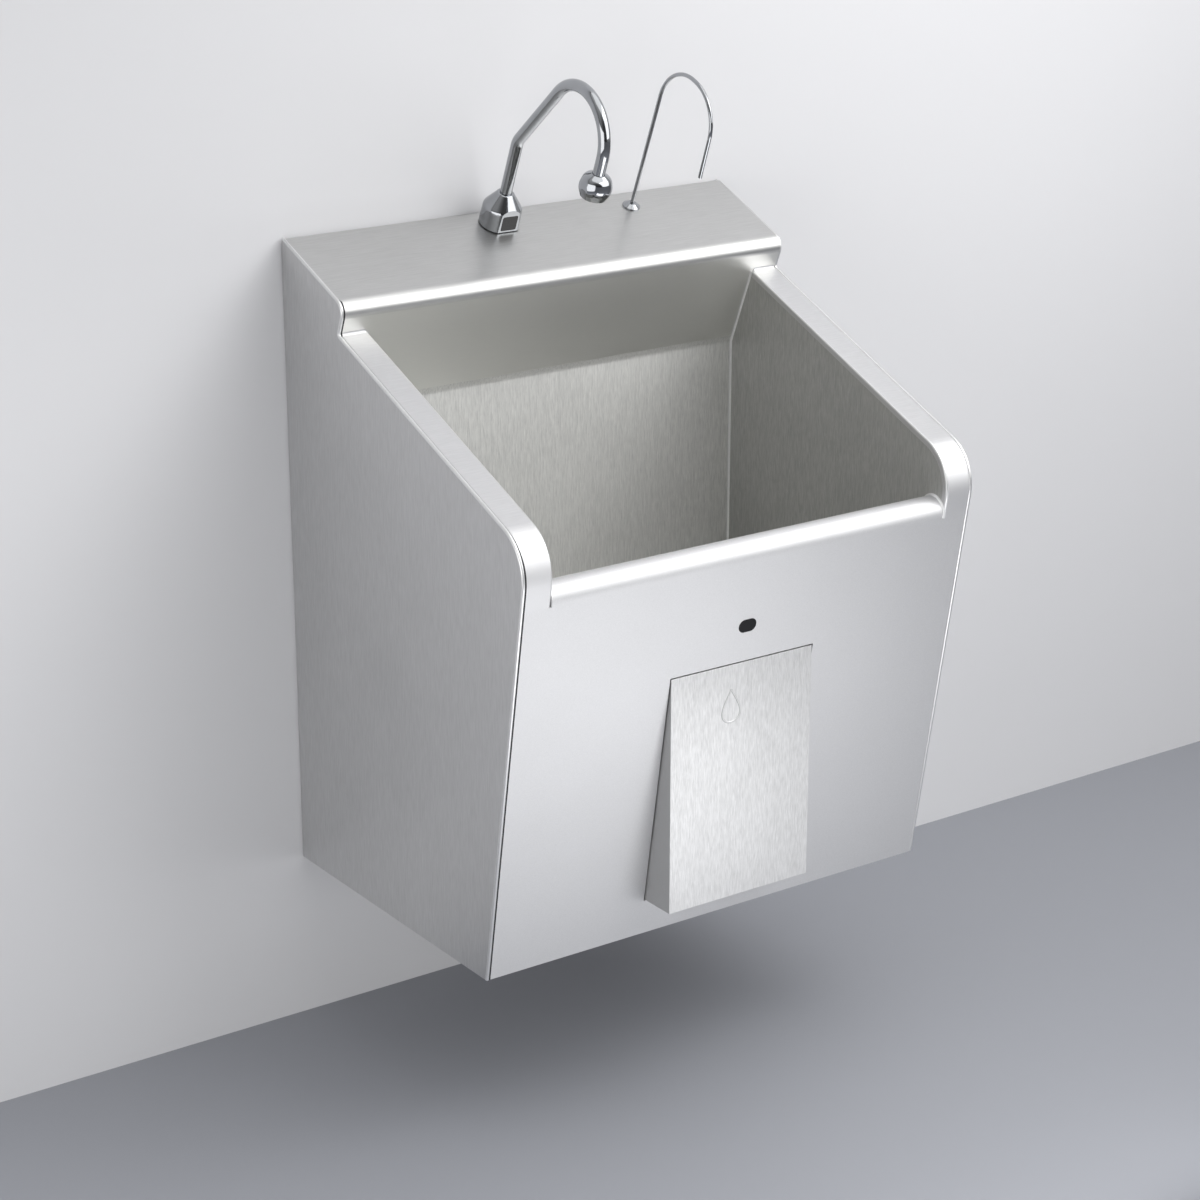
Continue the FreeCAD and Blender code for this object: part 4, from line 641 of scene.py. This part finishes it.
# %% [markdown]
# ## Bend between fascia and back wall
# The fascia runs into the back wall in a soft bend, not in a sharp line. A thin strip over the
# full width of the basin follows the bend and lies a hair in front of the solids.

# %% Fascia bend
BEND_RADIUS, BEND_FRONT, BEND_BACK = 18, 0.05, 0.6
BEND_LINE = [(-112.8, 268.3, 0), (*FASCIA_FOOT, BEND_RADIUS), (-109, 249, 0)]
bend_path, _ = rounded_path(BEND_LINE, math.radians(3))
bend_loops = []
for point, normal in zip(bend_path, normals(bend_path)):
    face = normal if normal.x < 0 else -normal
    front, back = point + face * BEND_FRONT, point - face * BEND_BACK
    corners = (-BASIN_FACE, front), (BASIN_FACE, front), (BASIN_FACE, back), (-BASIN_FACE, back)
    bend_loops.append([(MM * x, MM * spot.x, MM * spot.y) for x, spot in corners])
sweep("fascia_bend", bend_loops, steel_basin, "cabinet")
print("bend points", len(bend_path))

# %% [markdown]
# ## Embossed drop on the knee panel
# The knee panel carries a sign pressed into its sheet. Here it is a plain drop: a half-round ridge
# that follows a closed drop-shaped line and stands less than a millimetre out of the sheet.

# %% Drop sign
DROP_HEIGHT, DROP_BULGE, DROP_TAPER, DROP_POINTS = 52, 23.4, 1.5, 72
RIDGE_HALF_WIDTH, RIDGE_HEIGHT, RIDGE_ROOT, RIDGE_STEPS = 1.6, 0.9, 0.1, 6
DROP_X, DROP_LEVEL, KNEE_FACE = -20, 368, -613.29


def drop_line(turn):
    """Point of the drop's outline, counted from its tip."""
    bulge = DROP_BULGE * math.sin(turn / 2) ** DROP_TAPER
    return Vector((bulge * math.sin(turn), DROP_HEIGHT / 2 * math.cos(turn)))


drop_loops = []
for k in range(DROP_POINTS):
    at = drop_line(math.tau * k / DROP_POINTS)
    way = (drop_line(math.tau * (k + 0.01) / DROP_POINTS) - at).normalized()
    across = Vector((-way.y, way.x))
    loop = []
    for j in range(RIDGE_STEPS + 1):
        angle = math.pi * j / RIDGE_STEPS
        spot = at + across * RIDGE_HALF_WIDTH * math.cos(angle)
        y = KNEE_FACE + RIDGE_ROOT - RIDGE_HEIGHT * math.sin(angle)
        loop.append((MM * (DROP_X + spot.x), MM * y, level(DROP_LEVEL) + MM * spot.y))
    drop_loops.append(loop)
sweep("drop_sign", drop_loops, steel_knee, "knee", closed=True)
print("drop sign", DROP_HEIGHT, "mm tall")

# %% [markdown]
# ## Screws
# Small turned parts are stacks of rings: each ring has a radius and a height, and a ring may be
# bent to a hexagon for a key socket. The button-head screws hold the bottom panel and the lid of
# the control box. All screws of one kind are one mesh, because they never move apart.

# %% Turned screws
def turned(name, rings, spots, facing, material, body, sides=24):
    """A stack of rings (radius, height, hexagonal) in millimetres, copied to each spot."""
    bm = bmesh.new()
    upright = Vector(facing).to_track_quat("Z", "Y").to_matrix()
    for spot in spots:
        rows = []
        for radius, height, hexagonal in rings:
            row = []
            for k in range(sides):
                angle = k * math.tau / sides
                reach = radius
                if hexagonal:
                    reach *= math.cos(math.pi / 6) / math.cos(angle % (math.pi / 3) - math.pi / 6)
                point = Vector((reach * math.cos(angle), reach * math.sin(angle), height)) * MM
                row.append(bm.verts.new(Vector(spot) + upright @ point))
            rows.append(row)
        for lower, upper in zip(rows, rows[1:]):
            join_loops(bm, lower, upper)
        bm.faces.new(rows[0][::-1])
        bm.faces.new(rows[-1])
    return make_piece(name, bm, material, body, 35)


steel_turned = brushed_stainless("stainless_turned_screw", (12, 12, 12), "#b2b2b2", "#bebebe", 0.14, 0.03,
                                 0.02)
BUTTON_HEAD = [(4.6, -0.2, False), (4.6, 0.5, False), (4.1, 1.5, False), (3.0, 2.3, False),
               (2.2, 2.6, False), (1.8, 2.6, True), (1.8, 1.2, True)]
FLANGE_X, FOOT_SCREW_DEPTHS = 396.5, (90, 270, 450)
LID_Y, LID_SCREW_X, LID_SCREW_HEIGHTS = -61, (-311, -189), (529, 621)
foot_spots = [(side * FLANGE_X * MM, -y * MM, level(0)) for side in (-1, 1) for y in FOOT_SCREW_DEPTHS]
lid_spots = [(x * MM, LID_Y * MM, level(height)) for x in LID_SCREW_X for height in LID_SCREW_HEIGHTS]
for name, spots, facing in (("bottom_panel_screws", foot_spots, (0, 0, -1)),
                            ("control_box_screws", lid_spots, (0, 1, 0))):
    turned(name, BUTTON_HEAD, spots, facing, steel_turned, "cabinet")
print("screws", len(foot_spots) + len(lid_spots))

# %% [markdown]
# ## Spray nubs
# The holes of the spray plate have soft nubs, so that scale can be rubbed off with a thumb. They
# sit in three rings round a middle one and point along the jet, which leaves square to the deck.

# %% Spray nubs
NUB = [(1.9, -0.3, False), (1.7, 0.9, False), (1.4, 1.3, False), (1.0, 1.3, False), (0.9, -0.2, False)]
NUB_PITCH = 5
ROSE_X, ROSE_FORWARD, ROSE_UP = -47, 248.3, 178
rose_heart = deck_point(ROSE_X, ROSE_FORWARD, ROSE_UP)
deck_up = Vector((0, -math.sin(DECK_SLOPE), math.cos(DECK_SLOPE)))
deck_forward = Vector((0, -math.cos(DECK_SLOPE), -math.sin(DECK_SLOPE)))
nub_spots = [rose_heart]
for ring in (1, 2, 3):
    for k in range(6 * ring):
        angle = math.tau * k / (6 * ring)
        reach = Vector((1, 0, 0)) * math.cos(angle) - deck_forward * math.sin(angle)
        nub_spots.append(rose_heart + NUB_PITCH * MM * ring * reach)
turned("spray_nubs", NUB, nub_spots, -deck_up, silicone, "spout", sides=12)
print("nubs", len(nub_spots))
